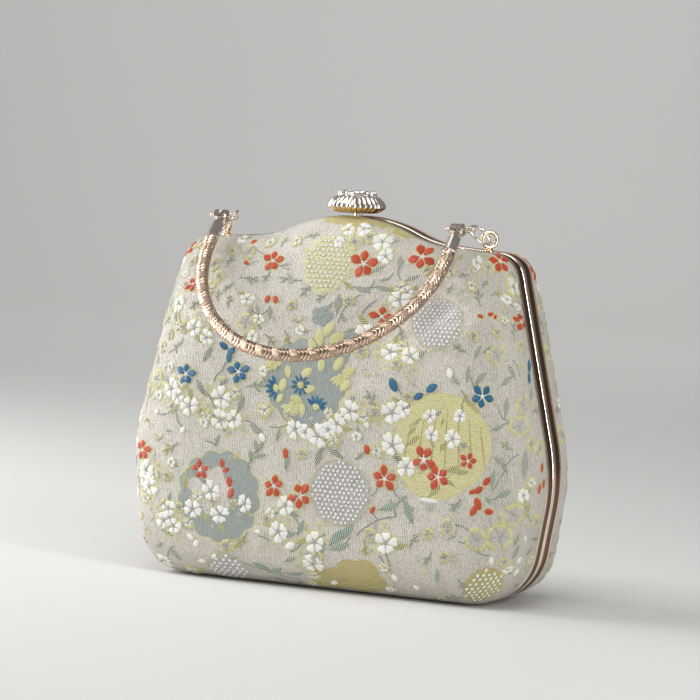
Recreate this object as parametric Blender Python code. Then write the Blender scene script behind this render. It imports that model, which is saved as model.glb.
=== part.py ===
"""Framed evening bag with a fluted knob clasp and a curved handle on jump rings.

Two moulded half shells, covered with brocade, sit in two halves of a metal frame.
The halves are hinged at the bottom and latched at the top by a sprung knob.
X runs along the bag's width, the front faces -Y, and the bag stands on Z = 0.
Dimensions below are in millimetres and degrees.
"""
import math

import bmesh
import bpy
import numpy as np
from mathutils import Vector

MM = 0.001

# Body of the bag
HALF_WIDTH = 98.5
BODY_HEIGHT = 165.2
CROWN_Y = 34.5
CENTRE_Z = 75.0
FIT_GAP = 0.3
OPEN_ANGLE = 80.0

# Outline of the frame: a low hump between two shoulders, then rounded sides
HUMP_RADIUS = 68.0
NECK_X = 36.9
NECK_RADIUS = 50.0
SHOULDER_SLOPE = 0.078
SHOULDER_DROP = 7.2
SHOULDER_RADIUS = 12.4
SIDE_RADIUS = 80.0
BASE_RADIUS = 26.0

# Frame band of one half, from the seam outwards
BAND = 8.3
SEAM_GAP = 0.15
LIP = 1.1
COVE = 0.8
WALL = 1.5

# Shell layers
COVER_SET = 0.3
BROCADE = 0.35
PAN = 1.5
LINING = 0.5
LINING_SLACK = 1.7
TONGUE_IN = 1.85
TONGUE_OUT = 3.1
TOP_POWER = 2.2
SIDE_POWER = 9.0
BASE_POWER = 10.0
TOP_WALL = 1.2
SIDE_WALL = 3.5
BASE_WALL = 9.0

# Bottom hinges
HINGE_X = 50.0
HINGE_Z = 1.4
HINGE_LENGTH = 16.0
BARREL_RADIUS = 1.2
BORE_RADIUS = 0.75
HINGE_PIN_RADIUS = 0.5
LEAF_LOW = 1.85
LEAF_HIGH = 2.55
LEAF_REACH = 5.4

# Knob clasp
KNOB_Y = -4.2
KNOB_LIFT = 1.25
KNOB_TRAVEL = 1.0
KNOB_RADIUS = 13.0
KNOB_HEIGHT = 7.6
FLUTES = 30
FLUTE_DEPTH = 0.5
RECESS_RADIUS = 3.7
RECESS_DEPTH = 4.5
STEM_RADIUS = 1.0
STEM_HOLE = 1.35
CATCH_RADIUS = 2.5
CATCH_HEIGHT = 0.7
LATCH_DROP = 4.3
LATCH_THICKNESS = 0.8
STONE_COUNT = 8
STONE_CIRCLE = 6.5
STONE_RADIUS = 2.2
CENTRE_STONE_RADIUS = 3.0

# Frame loops, jump rings and cross pins
LOOP_X = 64.2
LOOP_RISE = 5.2
LOOP_RADIUS = 3.3
LOOP_WIRE = 0.85
RING_RADIUS = 5.35
RING_WIRE = 0.6
# How far the handle's eye lies from its loop, in radii of the ring that joins them
PIVOT_OUT = 1.4953 * RING_RADIUS
PIVOT_UP = 0.6729 * RING_RADIUS
PIVOT_IN_RIGHT = 1.1215 * RING_RADIUS
PIVOT_IN_LEFT = 1.3458 * RING_RADIUS
PIN_REACH = 6.0
PIN_RADIUS = 0.65
EYE_RADIUS = 1.85
EYE_WIRE = 0.45

# Handle: straight shanks, then half an ellipse
SHANK = 15.0
BOW = 60.0
BAR_RADIUS = 2.9
HEAD_WIDTH = 6.4
HEAD_RADIUS = 2.9
PIN_HOLE = 0.95
SLOT = 1.3
FERRULE_START = 4.0
FERRULE_END = 13.0
FERRULE_HALF = 3.35
SOCKET_RADIUS = 2.2
REST_GAP = 0.35

# Where the finished bag stands: centred over the origin with the handle on its front
CENTRE_SHIFT = 15.0


def rad(degrees):
    return math.radians(degrees)


def material(name, colour, roughness, metallic):
    mat = bpy.data.materials.new(name)
    mat.use_nodes = True
    shader = mat.node_tree.nodes["Principled BSDF"]
    shader.inputs["Base Color"].default_value = (*colour, 1.0)
    shader.inputs["Roughness"].default_value = roughness
    shader.inputs["Metallic"].default_value = metallic
    return mat


def skin(name, loops, mat, ring=False, fold=None):
    """A closed body through a row of loops, capped, or joined round as a ring.

    With fold, quads are cut in two so that both faces of a folded layer match.
    """
    bm = bmesh.new()
    rows = [[bm.verts.new(Vector(point) * MM) for point in loop] for loop in loops]
    pairs = list(zip(rows, rows[1:]))
    if ring:
        pairs.append((rows[-1], rows[0]))
    for place, (first, second) in enumerate(pairs):
        count = max(len(first), len(second))
        for i in range(count):
            j = (i + 1) % count
            if len(first) == 1:
                bm.faces.new((first[0], second[j], second[i]))
            elif len(second) == 1:
                bm.faces.new((first[i], first[j], second[0]))
            elif fold is not None and place < fold:
                bm.faces.new((first[i], first[j], second[j]))
                bm.faces.new((first[i], second[j], second[i]))
            elif fold is not None:
                bm.faces.new((first[i], first[j], second[i]))
                bm.faces.new((first[j], second[j], second[i]))
            else:
                bm.faces.new((first[i], first[j], second[j], second[i]))
    if not ring:
        for row in (rows[0], rows[-1]):
            if len(row) > 2:
                bm.faces.new(row)
    bmesh.ops.recalc_face_normals(bm, faces=bm.faces)
    if bm.calc_volume(signed=True) < 0.0:
        bmesh.ops.reverse_faces(bm, faces=bm.faces)
    mesh = bpy.data.meshes.new(name)
    bm.to_mesh(mesh)
    bm.free()
    mesh.shade_smooth()
    mesh.set_sharp_from_angle(angle=rad(35.0))
    obj = bpy.data.objects.new(name, mesh)
    bpy.context.scene.collection.objects.link(obj)
    if mat is not None:
        mesh.materials.append(mat)
    return obj


def combine(target, operand, operation):
    """Applies a Boolean with the operand, which is then removed."""
    modifier = target.modifiers.new("combine", "BOOLEAN")
    modifier.operation = operation
    modifier.solver = "EXACT"
    modifier.object = operand
    bpy.context.view_layer.update()
    graph = bpy.context.evaluated_depsgraph_get()
    result = bpy.data.meshes.new_from_object(target.evaluated_get(graph))
    target.modifiers.clear()
    target.data = result
    result.name = target.name
    bpy.data.objects.remove(operand)
    return target


def attach(obj, axis):
    """Moves an object's origin onto its axis empty and parents it there."""
    inverse = axis.matrix_world.inverted()
    for vertex in obj.data.vertices:
        vertex.co = inverse @ vertex.co
    obj.parent = axis
    return obj


def axis_empty(name, point, tilt=0.0):
    empty = bpy.data.objects.new(name, None)
    empty.empty_display_size = 0.01
    empty.location = Vector(point) * MM
    empty.rotation_euler.x = tilt
    bpy.context.scene.collection.objects.link(empty)
    bpy.context.view_layer.update()
    return empty


def circle(centre, u, v, radius, count):
    centre = Vector(centre)
    u = Vector(u)
    v = Vector(v)
    turn = 2.0 * math.pi / count
    return [centre + radius * (math.cos(turn * i) * u + math.sin(turn * i) * v)
            for i in range(count)]


def torus_loops(centre, u, v, radius, wire, around, section):
    centre = Vector(centre)
    normal = Vector(u).cross(Vector(v))
    loops = []
    for i in range(around):
        angle = 2.0 * math.pi * i / around
        out = math.cos(angle) * Vector(u) + math.sin(angle) * Vector(v)
        loops.append(circle(centre + radius * out, out, normal, wire, section))
    return loops


def turned(name, centre, profile, mat, sides=16, along=(0, 0, 1), start=(1, 0, 0)):
    """A turned body: profile rows are radius and height, zero radius at the ends."""
    along = Vector(along)
    u = Vector(start)
    v = along.cross(u)
    loops = []
    for radius, height in profile:
        at = Vector(centre) + along * height
        if radius == 0.0:
            loops.append([at])
        else:
            loops.append(circle(at, u, v, radius, sides))
    return skin(name, loops, mat)


def prism(name, outline_points, low, high, mat, axis=2):
    """Extrudes a flat outline between two levels along one axis."""
    loops = []
    for level in (low, high):
        loop = []
        for a, b in outline_points:
            point = [a, b]
            point.insert(axis, level)
            loop.append(tuple(point))
        loops.append(loop)
    return skin(name, loops, mat)


def block(name, low, high, mat):
    corners = [(low[0], low[1]), (high[0], low[1]), (high[0], high[1]), (low[0], high[1])]
    return prism(name, corners, low[2], high[2], mat)


def shoulder_z(x):
    return BODY_HEIGHT - SHOULDER_DROP - SHOULDER_SLOPE * abs(x)


def fillet(before, corner, after, radius, steps):
    """Points of the arc that rounds one corner of a flat outline."""
    a = (Vector(before) - Vector(corner)).normalized()
    b = (Vector(after) - Vector(corner)).normalized()
    half = a.angle(b) / 2.0
    mid = (a + b).normalized()
    centre = Vector(corner) + mid * (radius / math.sin(half))
    start = Vector(corner) + a * (radius / math.tan(half)) - centre
    end = Vector(corner) + b * (radius / math.tan(half)) - centre
    sweep = start.angle_signed(end)
    points = []
    for i in range(steps + 1):
        angle = -sweep * i / steps
        cosine, sine = math.cos(angle), math.sin(angle)
        points.append((centre.x + start.x * cosine - start.y * sine,
                       centre.y + start.x * sine + start.y * cosine))
    return points


def outline():
    """The frame's outer edge in X and Z, clockwise from the hump."""
    neck = (NECK_X, shoulder_z(NECK_X))
    shoulder = (HALF_WIDTH - 20.6, shoulder_z(HALF_WIDTH - 20.6))
    side = (HALF_WIDTH + 1.5, 0.345 * BODY_HEIGHT)
    base = (HALF_WIDTH - 7.3, 0.0)
    half = [(*neck, NECK_RADIUS, 2), (*shoulder, SHOULDER_RADIUS, 5),
            (*side, SIDE_RADIUS, 3), (*base, BASE_RADIUS, 6)]
    slope = math.atan((HUMP_APEX - neck[1]) / neck[0])
    assert abs(HUMP_RADIUS * (1.0 / math.cos(slope) - 1.0) + BODY_HEIGHT - HUMP_APEX) < 0.5
    rows = [(0.0, HUMP_APEX, HUMP_RADIUS, 6)] + half + [(0.0, 0.0, 0.0, 0)]
    rows += [(-x, z, r, n) for x, z, r, n in reversed(half)]
    points = []
    for i, (x, z, radius, steps) in enumerate(rows):
        if steps == 0:
            points.append((x, z))
            continue
        before = rows[i - 1][:2]
        after = rows[(i + 1) % len(rows)][:2]
        points += fillet(before, (x, z), after, radius, steps)
    split = []
    for i, (x, z) in enumerate(points):
        nx, nz = points[(i + 1) % len(points)]
        split.append((x, z))
        if math.dist((x, z), (nx, nz)) > 40.0:
            split.append(((x + nx) / 2.0, (z + nz) / 2.0))
    return split


def hump_apex():
    """Corner height at which the hump's arc peaks at the body height."""
    low = BODY_HEIGHT
    high = BODY_HEIGHT + 30.0
    neck_z = shoulder_z(NECK_X)
    for _ in range(60):
        middle = (low + high) / 2.0
        slope = math.atan((middle - neck_z) / NECK_X)
        peak = middle - HUMP_RADIUS * (1.0 / math.cos(slope) - 1.0)
        if peak > BODY_HEIGHT:
            high = middle
        else:
            low = middle
    return low


def inward(points):
    """Inward miter vectors of a clockwise outline, for a unit inset."""
    vectors = []
    count = len(points)
    for i in range(count):
        a = Vector(points[i]) - Vector(points[i - 1])
        b = Vector(points[(i + 1) % count]) - Vector(points[i])
        a.normalize()
        b.normalize()
        first = Vector((a.y, -a.x))
        second = Vector((b.y, -b.x))
        middle = (first + second).normalized()
        vectors.append(middle / middle.dot(first))
    return vectors


def frame_section():
    """Inset and distance from the seam for one half of the band."""
    middle = BAND / 2.0 + 0.05
    span = BAND / 2.0 - LIP - 0.45
    rows = [(0.3, BAND), (0.0, BAND - 0.3), (0.0, BAND - LIP)]
    for i in range(5):
        t = 1.0 - 0.5 * i
        rows.append((0.35 + (COVE - 0.35) * (1.0 - t * t), middle + span * t))
    rows += [(0.0, LIP + 0.1), (0.0, SEAM_GAP + 0.3), (0.3, SEAM_GAP), (2.0, SEAM_GAP)]
    rows += [(2.0, 0.9), (WALL, 1.3), (WALL, BAND)]
    return rows


def frame_half(name, side, mat):
    """One half of the frame; its bottom edge is relieved so that it can open."""
    points = outline()
    normals = inward(points)
    relief = math.tan(rad(OPEN_ANGLE / 2.0 + 2.0))
    loops = []
    for (x, z), n in zip(points, normals):
        loop = []
        for row, (inset, away) in enumerate(frame_section()):
            px = x + n.x * inset
            pz = z + n.y * inset
            least = (HINGE_Z - pz) * relief + SEAM_GAP
            if row == 8:
                least += 0.12
            loop.append((px, side * max(away, least), pz))
        loops.append(loop)
    obj = skin(name, loops, mat, ring=True)
    half = HINGE_LENGTH / 2.0 + 1.6
    for x in (-HINGE_X, HINGE_X):
        notch = block("notch", (x - half, -1.7, -1.0), (x + half, 1.7, 3.2), None)
        combine(obj, notch, "DIFFERENCE")
    return obj


def smooth(value):
    value = min(1.0, max(0.0, value))
    return value * value * (3.0 - 2.0 * value)


def crown(x, z, phi):
    """The covered shell's outer surface on the ray from an outline point inwards."""
    up = smooth((z / BODY_HEIGHT - 0.76) / 0.14)
    down = smooth((0.24 - z / BODY_HEIGHT) / 0.24)
    level = 1.0 - up - down
    power = TOP_POWER * up + BASE_POWER * down + SIDE_POWER * level
    wall = TOP_WALL * up + BASE_WALL * down + SIDE_WALL * level
    rim = BAND + FIT_GAP + wall
    inset = 1.0 - max(0.0, math.cos(phi)) ** (2.0 / power)
    depth = rim + (CROWN_Y - rim) * math.sin(phi)
    return Vector((x * (1.0 - inset), -depth, z + (CENTRE_Z - z) * inset))


def layer_ring(points, height, offset):
    """One ring of a layer, set in along the surface normal from the outer surface."""
    phi = math.asin(height)
    step = 0.02
    ring = []
    count = len(points)
    for i, (x, z) in enumerate(points):
        here = crown(x, z, phi)
        a = here - crown(*points[i - 1], phi)
        b = crown(*points[(i + 1) % count], phi) - here
        along = a.normalized() + b.normalized()
        rise = crown(x, z, phi + step) - crown(x, z, max(0.0, phi - step))
        if height == 0.0:
            rise = Vector((0.0, -1.0, 0.0))
        normal = along.cross(rise).normalized()
        if normal.dot(here - Vector((0.0, 0.0, CENTRE_Z))) < 0.0:
            normal = -normal
        ring.append(here - normal * offset)
    return ring


def rim_ring(points, inset, away):
    normals = inward(points)
    return [Vector((x + n.x * inset, -away, z + n.y * inset))
            for (x, z), n in zip(points, normals)]


def shell_layer(name, side, points, heights, outer, thickness, edge, mat):
    """A closed layer: outer face, edge rings round the rim, then the inner face."""
    loops = [[Vector((0.0, -(CROWN_Y - outer), CENTRE_Z))]]
    loops += [layer_ring(points, h, outer) for h in reversed(heights)]
    loops += [rim_ring(points, inset, away) for inset, away in edge]
    inner = outer + thickness
    loops += [layer_ring(points, h, inner) for h in heights]
    loops.append([Vector((0.0, -(CROWN_Y - inner), CENTRE_Z))])
    turned_loops = [[(p.x, -side * p.y, p.z) for p in loop] for loop in loops]
    return skin(name, turned_loops, mat, fold=len(heights) + 1)


def half_shell(prefix, side, mats):
    fine = outline()
    coarse = fine[1::2]
    rim = BAND + FIT_GAP
    heights = (0.0, 0.45, 0.75, 0.92, 0.985)
    cover = shell_layer(prefix + "_brocade", side, fine, heights, COVER_SET, BROCADE,
                        [(COVER_SET, rim), (COVER_SET + BROCADE, rim)], mats["brocade"])
    offset = COVER_SET + BROCADE + FIT_GAP
    edge = [(offset, rim + 0.15), (TONGUE_IN, rim + 0.15), (TONGUE_IN, BAND - 2.0),
            (TONGUE_OUT, BAND - 2.0), (TONGUE_OUT, BAND + 1.5)]
    pan = shell_layer(prefix + "_shell", side, fine, heights, offset, PAN, edge,
                      mats["board"])
    edge = [(TONGUE_OUT + 1.2, BAND + 2.0), (TONGUE_OUT + 1.2, BAND - 0.5),
            (TONGUE_OUT + 1.2 + LINING, BAND - 0.5), (TONGUE_OUT + 1.2 + LINING, BAND + 2.0)]
    lining = shell_layer(prefix + "_lining", side, coarse, (0.0, 0.6, 0.93),
                         offset + PAN + LINING_SLACK, LINING, edge, mats["lining"])
    return [cover, pan, lining]


def hinge_leaf(name, x, side, mat):
    """A comb plate whose knuckles turn on the hinge pin."""
    half = HINGE_LENGTH / 2.0
    inner = 2.7
    outer_start = inner + FIT_GAP
    root = 1.6
    tip = 0.8
    if side < 0:
        comb = [(-half, tip), (-outer_start, tip), (-outer_start, root), (outer_start, root),
                (outer_start, tip), (half, tip), (half, LEAF_REACH), (-half, LEAF_REACH)]
        spans = [(-half, -outer_start), (outer_start, half)]
    else:
        comb = [(-inner, tip), (inner, tip), (inner, root), (half, root),
                (half, LEAF_REACH), (-half, LEAF_REACH), (-half, root), (-inner, root)]
        spans = [(-inner, inner)]
    comb = [(x + a, side * b) for a, b in comb]
    leaf = prism(name, comb, LEAF_LOW, LEAF_HIGH, mat)
    for low, high in spans:
        loops = []
        for at, radius in ((low, BARREL_RADIUS), (high, BARREL_RADIUS),
                           (high, BORE_RADIUS), (low, BORE_RADIUS)):
            loops.append(circle((x + at, 0, HINGE_Z), (0, 1, 0), (0, 0, 1), radius, 16))
        combine(leaf, skin("knuckle", loops, None, ring=True), "UNION")
    return leaf


def hinge_pin(name, x, mat):
    half = HINGE_LENGTH / 2.0 + 0.35
    head = half + 0.6
    profile = [(0.0, -head), (0.95, -head), (0.95, -half), (HINGE_PIN_RADIUS, -half),
               (HINGE_PIN_RADIUS, half), (0.95, half), (0.95, head), (0.0, head)]
    return turned(name, (x, 0, HINGE_Z), profile, mat, sides=10, along=(1, 0, 0),
                  start=(0, 1, 0))


def frame_loop(name, side, yaw, mat):
    """An upright ring on a small foot that stands on the frame band."""
    x = side * LOOP_X
    z = shoulder_z(LOOP_X) + LOOP_RISE
    across = (math.cos(yaw), math.sin(yaw), 0.0)
    loops = torus_loops((x, KNOB_Y, z), across, (0, 0, 1), LOOP_RADIUS, LOOP_WIRE, 20, 8)
    loop = skin(name, loops, mat, ring=True)
    foot = []
    for radius, height in ((2.25, None), (2.25, 0.5), (1.5, 1.0), (1.3, 1.9)):
        row = []
        for point in circle((x, KNOB_Y, 0.0), (1, 0, 0), (0, 1, 0), radius, 12):
            base = shoulder_z(point.x) - 0.02
            top = shoulder_z(LOOP_X) + (height or 0.0)
            row.append((point.x, point.y, base if height is None else top))
        foot.append(row)
    return combine(loop, skin("foot", foot, None), "UNION")


def ring_frame(side):
    """Eye centre, ring centre and the ring's two directions for one side."""
    z = shoulder_z(LOOP_X) + LOOP_RISE
    eye = Vector((side * LOOP_X, KNOB_Y - PIVOT_OUT, z + PIVOT_UP))
    hook = Vector((side * LOOP_X, KNOB_Y, z))
    if side > 0:
        eye.x -= PIVOT_IN_RIGHT
        turn = rad(-50.0)
    else:
        eye.x += PIVOT_IN_LEFT
        turn = rad(38.0)
        hook += Vector((math.cos(LOOP_YAW_LEFT), math.sin(LOOP_YAW_LEFT), 0.0))
    u = (hook - eye).normalized()
    up = (Vector((0, 0, 1)) - u.z * u).normalized()
    v = math.cos(turn) * up + math.sin(turn) * u.cross(up)
    return eye, eye + RING_RADIUS * u, u, v


def jump_ring(name, side, mat):
    _, centre, u, v = ring_frame(side)
    loops = torus_loops(centre, u, v, RING_RADIUS, RING_WIRE, 26, 8)
    return skin(name, loops, mat, ring=True)


def cross_pin(name, side, mat):
    """A pin through the handle's head: ball tip, shank, collar and eye."""
    eye, _, _, v = ring_frame(side)
    face = -PIN_REACH + HEAD_WIDTH / 2.0
    tip = -PIN_REACH - HEAD_WIDTH / 2.0 - FIT_GAP
    profile = [(0.0, tip - 2.2), (0.6, tip - 2.0), (1.05, tip - 1.1), (0.8, tip - 0.3),
               (PIN_RADIUS, tip), (PIN_RADIUS, face + FIT_GAP), (1.1, face + FIT_GAP + 0.1),
               (1.1, face + FIT_GAP + 0.6), (0.6, -EYE_RADIUS - 0.2), (0.4, -EYE_RADIUS + 0.1),
               (0.0, -EYE_RADIUS + 0.1)]
    pin = turned(name, eye, profile, mat, sides=12, along=(1, 0, 0), start=(0, 1, 0))
    normal = Vector((0.0, v.y, v.z)).normalized()
    across = normal.cross(Vector((1, 0, 0)))
    loops = torus_loops(eye, (1, 0, 0), across, EYE_RADIUS, EYE_WIRE, 18, 8)
    return combine(pin, skin("eye", loops, None, ring=True), "UNION")


def knob_profile():
    """Radius and height above the knob's underside, outer face only."""
    r = KNOB_RADIUS
    h = KNOB_HEIGHT
    return [(0.65 * r, 0.0), (0.85 * r, 0.13 * h), (r, 0.34 * h), (0.98 * r, 0.5 * h),
            (0.88 * r, 0.76 * h), (0.73 * r, h)]


def knob_body(name, low, mat):
    count = 2 * FLUTES
    loops = []
    for radius, height in knob_profile():
        loop = []
        for i in range(count):
            angle = 2.0 * math.pi * i / count
            r = radius - (FLUTE_DEPTH if i % 2 else 0.0)
            loop.append((r * math.cos(angle), KNOB_Y + r * math.sin(angle), low + height))
        loops.append(loop)
    knob = skin(name, loops, mat)
    profile = [(0.0, -1.0), (RECESS_RADIUS, -1.0), (RECESS_RADIUS, RECESS_DEPTH),
               (STEM_HOLE, RECESS_DEPTH), (STEM_HOLE, RECESS_DEPTH + 2.0),
               (0.0, RECESS_DEPTH + 2.0)]
    recess = turned("recess", (0, KNOB_Y, low), profile, None, sides=20)
    return combine(knob, recess, "DIFFERENCE")


def knob_stem(name, low, mat):
    """The stem under the knob, with the round catch at its lower end."""
    catch = BODY_HEIGHT - LATCH_DROP - LATCH_THICKNESS + 0.05 - low
    top = RECESS_DEPTH + 2.0 - FIT_GAP
    profile = [(0.0, catch), (CATCH_RADIUS, catch), (CATCH_RADIUS, catch + CATCH_HEIGHT),
               (STEM_RADIUS, catch + CATCH_HEIGHT), (STEM_RADIUS, top), (0.0, top)]
    return turned(name, (0, KNOB_Y, low), profile, mat, sides=14)


def knob_spring(name, low, mat):
    start = BODY_HEIGHT + FIT_GAP + 0.25
    end = low + RECESS_DEPTH - FIT_GAP - 0.25
    turns = 3.5
    steps = int(turns * 12)
    loops = []
    for i in range(steps + 1):
        angle = 2.0 * math.pi * turns * i / steps
        out = Vector((math.cos(angle), math.sin(angle), 0.0))
        at = Vector((0, KNOB_Y, start + (end - start) * i / steps)) + 2.5 * out
        loops.append(circle(at, out, (0, 0, 1), 0.25, 5))
    return skin(name, loops, mat)


def stone(name, x, y, z, radius, mat):
    profile = [(0.0, 0.0), (0.86 * radius, 0.0), (radius, 0.6), (0.86 * radius, 1.3),
               (0.5 * radius, 1.95), (0.0, 1.95)]
    return turned(name, (x, y, z), profile, mat, sides=8)


def latch_tongue(name, mat):
    """The back half's tongue: a keyhole round the catch, open towards the front."""
    front = KNOB_Y - 3.2
    hole = CATCH_RADIUS + FIT_GAP
    slot = STEM_HOLE
    opening = math.asin(slot / hole)
    points = [(4.5, 5.8), (4.5, front), (slot, front)]
    for i in range(15):
        angle = -math.pi / 2.0 + opening + (2.0 * math.pi - 2.0 * opening) * i / 14.0
        points.append((hole * math.cos(angle), KNOB_Y + hole * math.sin(angle)))
    points += [(-slot, front), (-4.5, front), (-4.5, 5.8)]
    top = BODY_HEIGHT - LATCH_DROP
    tongue = prism(name, points, top - LATCH_THICKNESS, top, mat)
    foot = block("foot", (-4.4, 1.7, top - 0.4), (4.4, 5.7, BODY_HEIGHT - 2.3), None)
    return combine(tongue, foot, "UNION")


def latch_housing(name, mat):
    """A channel under the front half's top that guides the tongue."""
    high = BODY_HEIGHT - 2.6
    floor = BODY_HEIGHT - LATCH_DROP - LATCH_THICKNESS - KNOB_TRAVEL - 0.2
    wall = 5.4
    points = [(-wall - 1.0, high), (-wall - 1.0, floor - 0.7), (wall + 1.0, floor - 0.7),
              (wall + 1.0, high), (wall, high), (wall, floor), (-wall, floor), (-wall, high)]
    return prism(name, points, -5.9, -1.4, mat, axis=1)


def handle_radius(s):
    """Half thickness of the handle at a distance down from its pivot."""
    if s < FERRULE_START - 0.5:
        return HEAD_RADIUS
    if s <= FERRULE_END:
        return FERRULE_HALF
    return BAR_RADIUS


def handle_path(half, count):
    """Centreline points across and down from the pivot, from left to right."""
    points = [(-half, FERRULE_END + FIT_GAP)]
    for i in range(count + 1):
        angle = math.pi * i / count
        points.append((-half * math.cos(angle), SHANK + BOW * math.sin(angle)))
    points.append((half, FERRULE_END + FIT_GAP))
    return points


def rest_tilt(pivot, middle, half):
    """Smallest tilt, forwards from straight down, that clears the covered shell."""
    edge = outline()
    samples = []
    count = len(edge)
    for i in range(count):
        a = edge[i]
        b = edge[(i + 1) % count]
        parts = max(1, int(math.dist(a, b) / 3.0))
        for k in range(parts):
            t = k / parts
            x = a[0] + (b[0] - a[0]) * t
            z = a[1] + (b[1] - a[1]) * t
            if z < 0.4 * BODY_HEIGHT:
                continue
            for j in range(26):
                samples.append(crown(x, z, math.pi / 2.0 * j / 25.0))
    surface = np.array(samples)
    path = []
    for side in (-half, half):
        path += [(side, 0.25 * i, handle_radius(0.25 * i)) for i in range(61)]
    path += [(x, s, BAR_RADIUS) for x, s in handle_path(half, 60)]
    path = np.array(path)
    best = 80.0
    tilt = 80.0
    while tilt > 0.0:
        down = np.array([0.0, -math.sin(rad(tilt)), -math.cos(rad(tilt))])
        at = np.array(pivot) + path[:, 1:2] * down
        at[:, 0] += middle + path[:, 0] - pivot[0]
        gap = np.linalg.norm(at[:, None, :] - surface[None, :, :], axis=2).min(axis=1)
        if (gap - path[:, 2]).min() < REST_GAP:
            break
        best = tilt
        tilt -= 0.5
    return best


def bar_loops(middle, half):
    path = handle_path(half, 34)
    points = [Vector((middle + x, 0.0, -s)) for x, s in path]
    loops = []
    for i, point in enumerate(points):
        before = points[max(0, i - 1)]
        after = points[min(len(points) - 1, i + 1)]
        tangent = (after - before).normalized()
        if i in (0, len(points) - 1):
            tangent = Vector((0, 0, -1 if i == 0 else 1))
        side = tangent.cross(Vector((0, 1, 0)))
        loops.append(circle(point, side, (0, 1, 0), BAR_RADIUS, 10))
    return loops


def diamond(x, level, size):
    """A square section turned 45 degrees, with narrow flats on its corners."""
    r = size
    e = 0.16 * size
    rows = [(r - e, e), (e, r - e), (-e, r - e), (-r + e, e),
            (-r + e, -e), (-e, -r + e), (e, -r + e), (r - e, -e)]
    return [(x + a, b, -level) for a, b in rows]


def ferrule(name, x, mat):
    """A forked head on a turned square bead, with a socket for the bar."""
    loops = [diamond(x, 1.8, 1.9), diamond(x, FERRULE_START - 0.4, 2.3),
             diamond(x, FERRULE_START + 0.7, FERRULE_HALF),
             diamond(x, FERRULE_END - 0.8, FERRULE_HALF), diamond(x, FERRULE_END, 2.75)]
    bead = skin(name, loops, mat)
    half = HEAD_WIDTH / 2.0
    profile = [(0.0, -half), (HEAD_RADIUS - 0.7, -half), (HEAD_RADIUS, -half + 0.6),
               (HEAD_RADIUS, half - 0.6), (HEAD_RADIUS - 0.7, half), (0.0, half)]
    head = turned("head", (x, 0, 0), profile, None, sides=16, along=(1, 0, 0),
                  start=(0, 1, 0))
    combine(bead, head, "UNION")
    slot = block("slot", (x - SLOT / 2.0, -4.0, -2.2), (x + SLOT / 2.0, 4.0, 4.0), None)
    combine(bead, slot, "DIFFERENCE")
    hole = turned("hole", (x, 0, 0), [(0.0, -5.0), (PIN_HOLE, -5.0), (PIN_HOLE, 5.0), (0.0, 5.0)],
                  None, sides=12, along=(1, 0, 0), start=(0, 1, 0))
    return combine(bead, hole, "DIFFERENCE")


for old in list(bpy.data.objects):
    bpy.data.objects.remove(old)

HUMP_APEX = hump_apex()
LOOP_YAW_RIGHT = rad(42.0)
LOOP_YAW_LEFT = rad(-38.0)

GOLD = material("rose_gold_frame", (0.80, 0.62, 0.50), 0.18, 1.0)
SILVER = material("bright_silver", (0.82, 0.80, 0.78), 0.2, 1.0)
STEEL = material("spring_steel", (0.5, 0.5, 0.5), 0.35, 1.0)
CLOTH = material("floral_brocade", (0.62, 0.56, 0.47), 0.6, 0.0)
BOARD = material("moulded_board", (0.42, 0.36, 0.28), 0.8, 0.0)
SATIN = material("satin_lining", (0.72, 0.66, 0.56), 0.5, 0.0)
CRYSTAL = material("clear_stone", (0.9, 0.9, 0.92), 0.05, 0.0)
LAYERS = {"brocade": CLOTH, "board": BOARD, "lining": SATIN}

loop_z = shoulder_z(LOOP_X) + LOOP_RISE
right_eye = ring_frame(1)[0]
left_eye = ring_frame(-1)[0]
right_head = right_eye.x - PIN_REACH
left_head = left_eye.x - PIN_REACH
head_middle = (right_head + left_head) / 2.0
head_half = (right_head - left_head) / 2.0
pivot_point = (0.0, right_eye.y, right_eye.z)
tilt_at_rest = rest_tilt(pivot_point, head_middle, head_half)

hinge_axis = axis_empty("hinge_axis", (0.0, 0.0, HINGE_Z))
knob_axis = axis_empty("knob_axis", (0.0, KNOB_Y, BODY_HEIGHT + KNOB_LIFT))
right_axis = axis_empty("ring_axis_right", (LOOP_X, KNOB_Y, loop_z))
left_axis = axis_empty("ring_axis_left", (-LOOP_X, KNOB_Y, loop_z))
handle_axis = axis_empty("handle_axis", pivot_point, -rad(tilt_at_rest))

front_frame = frame_half("front_frame", -1, GOLD)
bore = turned("bore", (0, KNOB_Y, BODY_HEIGHT - 5.0),
              [(0.0, 0.0), (STEM_HOLE, 0.0), (STEM_HOLE, 8.0), (0.0, 8.0)], None, sides=14)
combine(front_frame, bore, "DIFFERENCE")
half_shell("front", -1, LAYERS)
frame_loop("frame_loop_right", 1, LOOP_YAW_RIGHT, GOLD)
frame_loop("frame_loop_left", -1, LOOP_YAW_LEFT, GOLD)
latch_housing("latch_housing", GOLD)
for label, place in (("left", -HINGE_X), ("right", HINGE_X)):
    hinge_leaf("front_hinge_leaf_" + label, place, -1, GOLD)
    hinge_pin("hinge_pin_" + label, place, STEEL)

back = [frame_half("back_frame", 1, GOLD)]
back += half_shell("back", 1, LAYERS)
back.append(latch_tongue("latch_tongue", GOLD))
for label, place in (("left", -HINGE_X), ("right", HINGE_X)):
    back.append(hinge_leaf("back_hinge_leaf_" + label, place, 1, GOLD))
for piece in back:
    attach(piece, hinge_axis)

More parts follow.
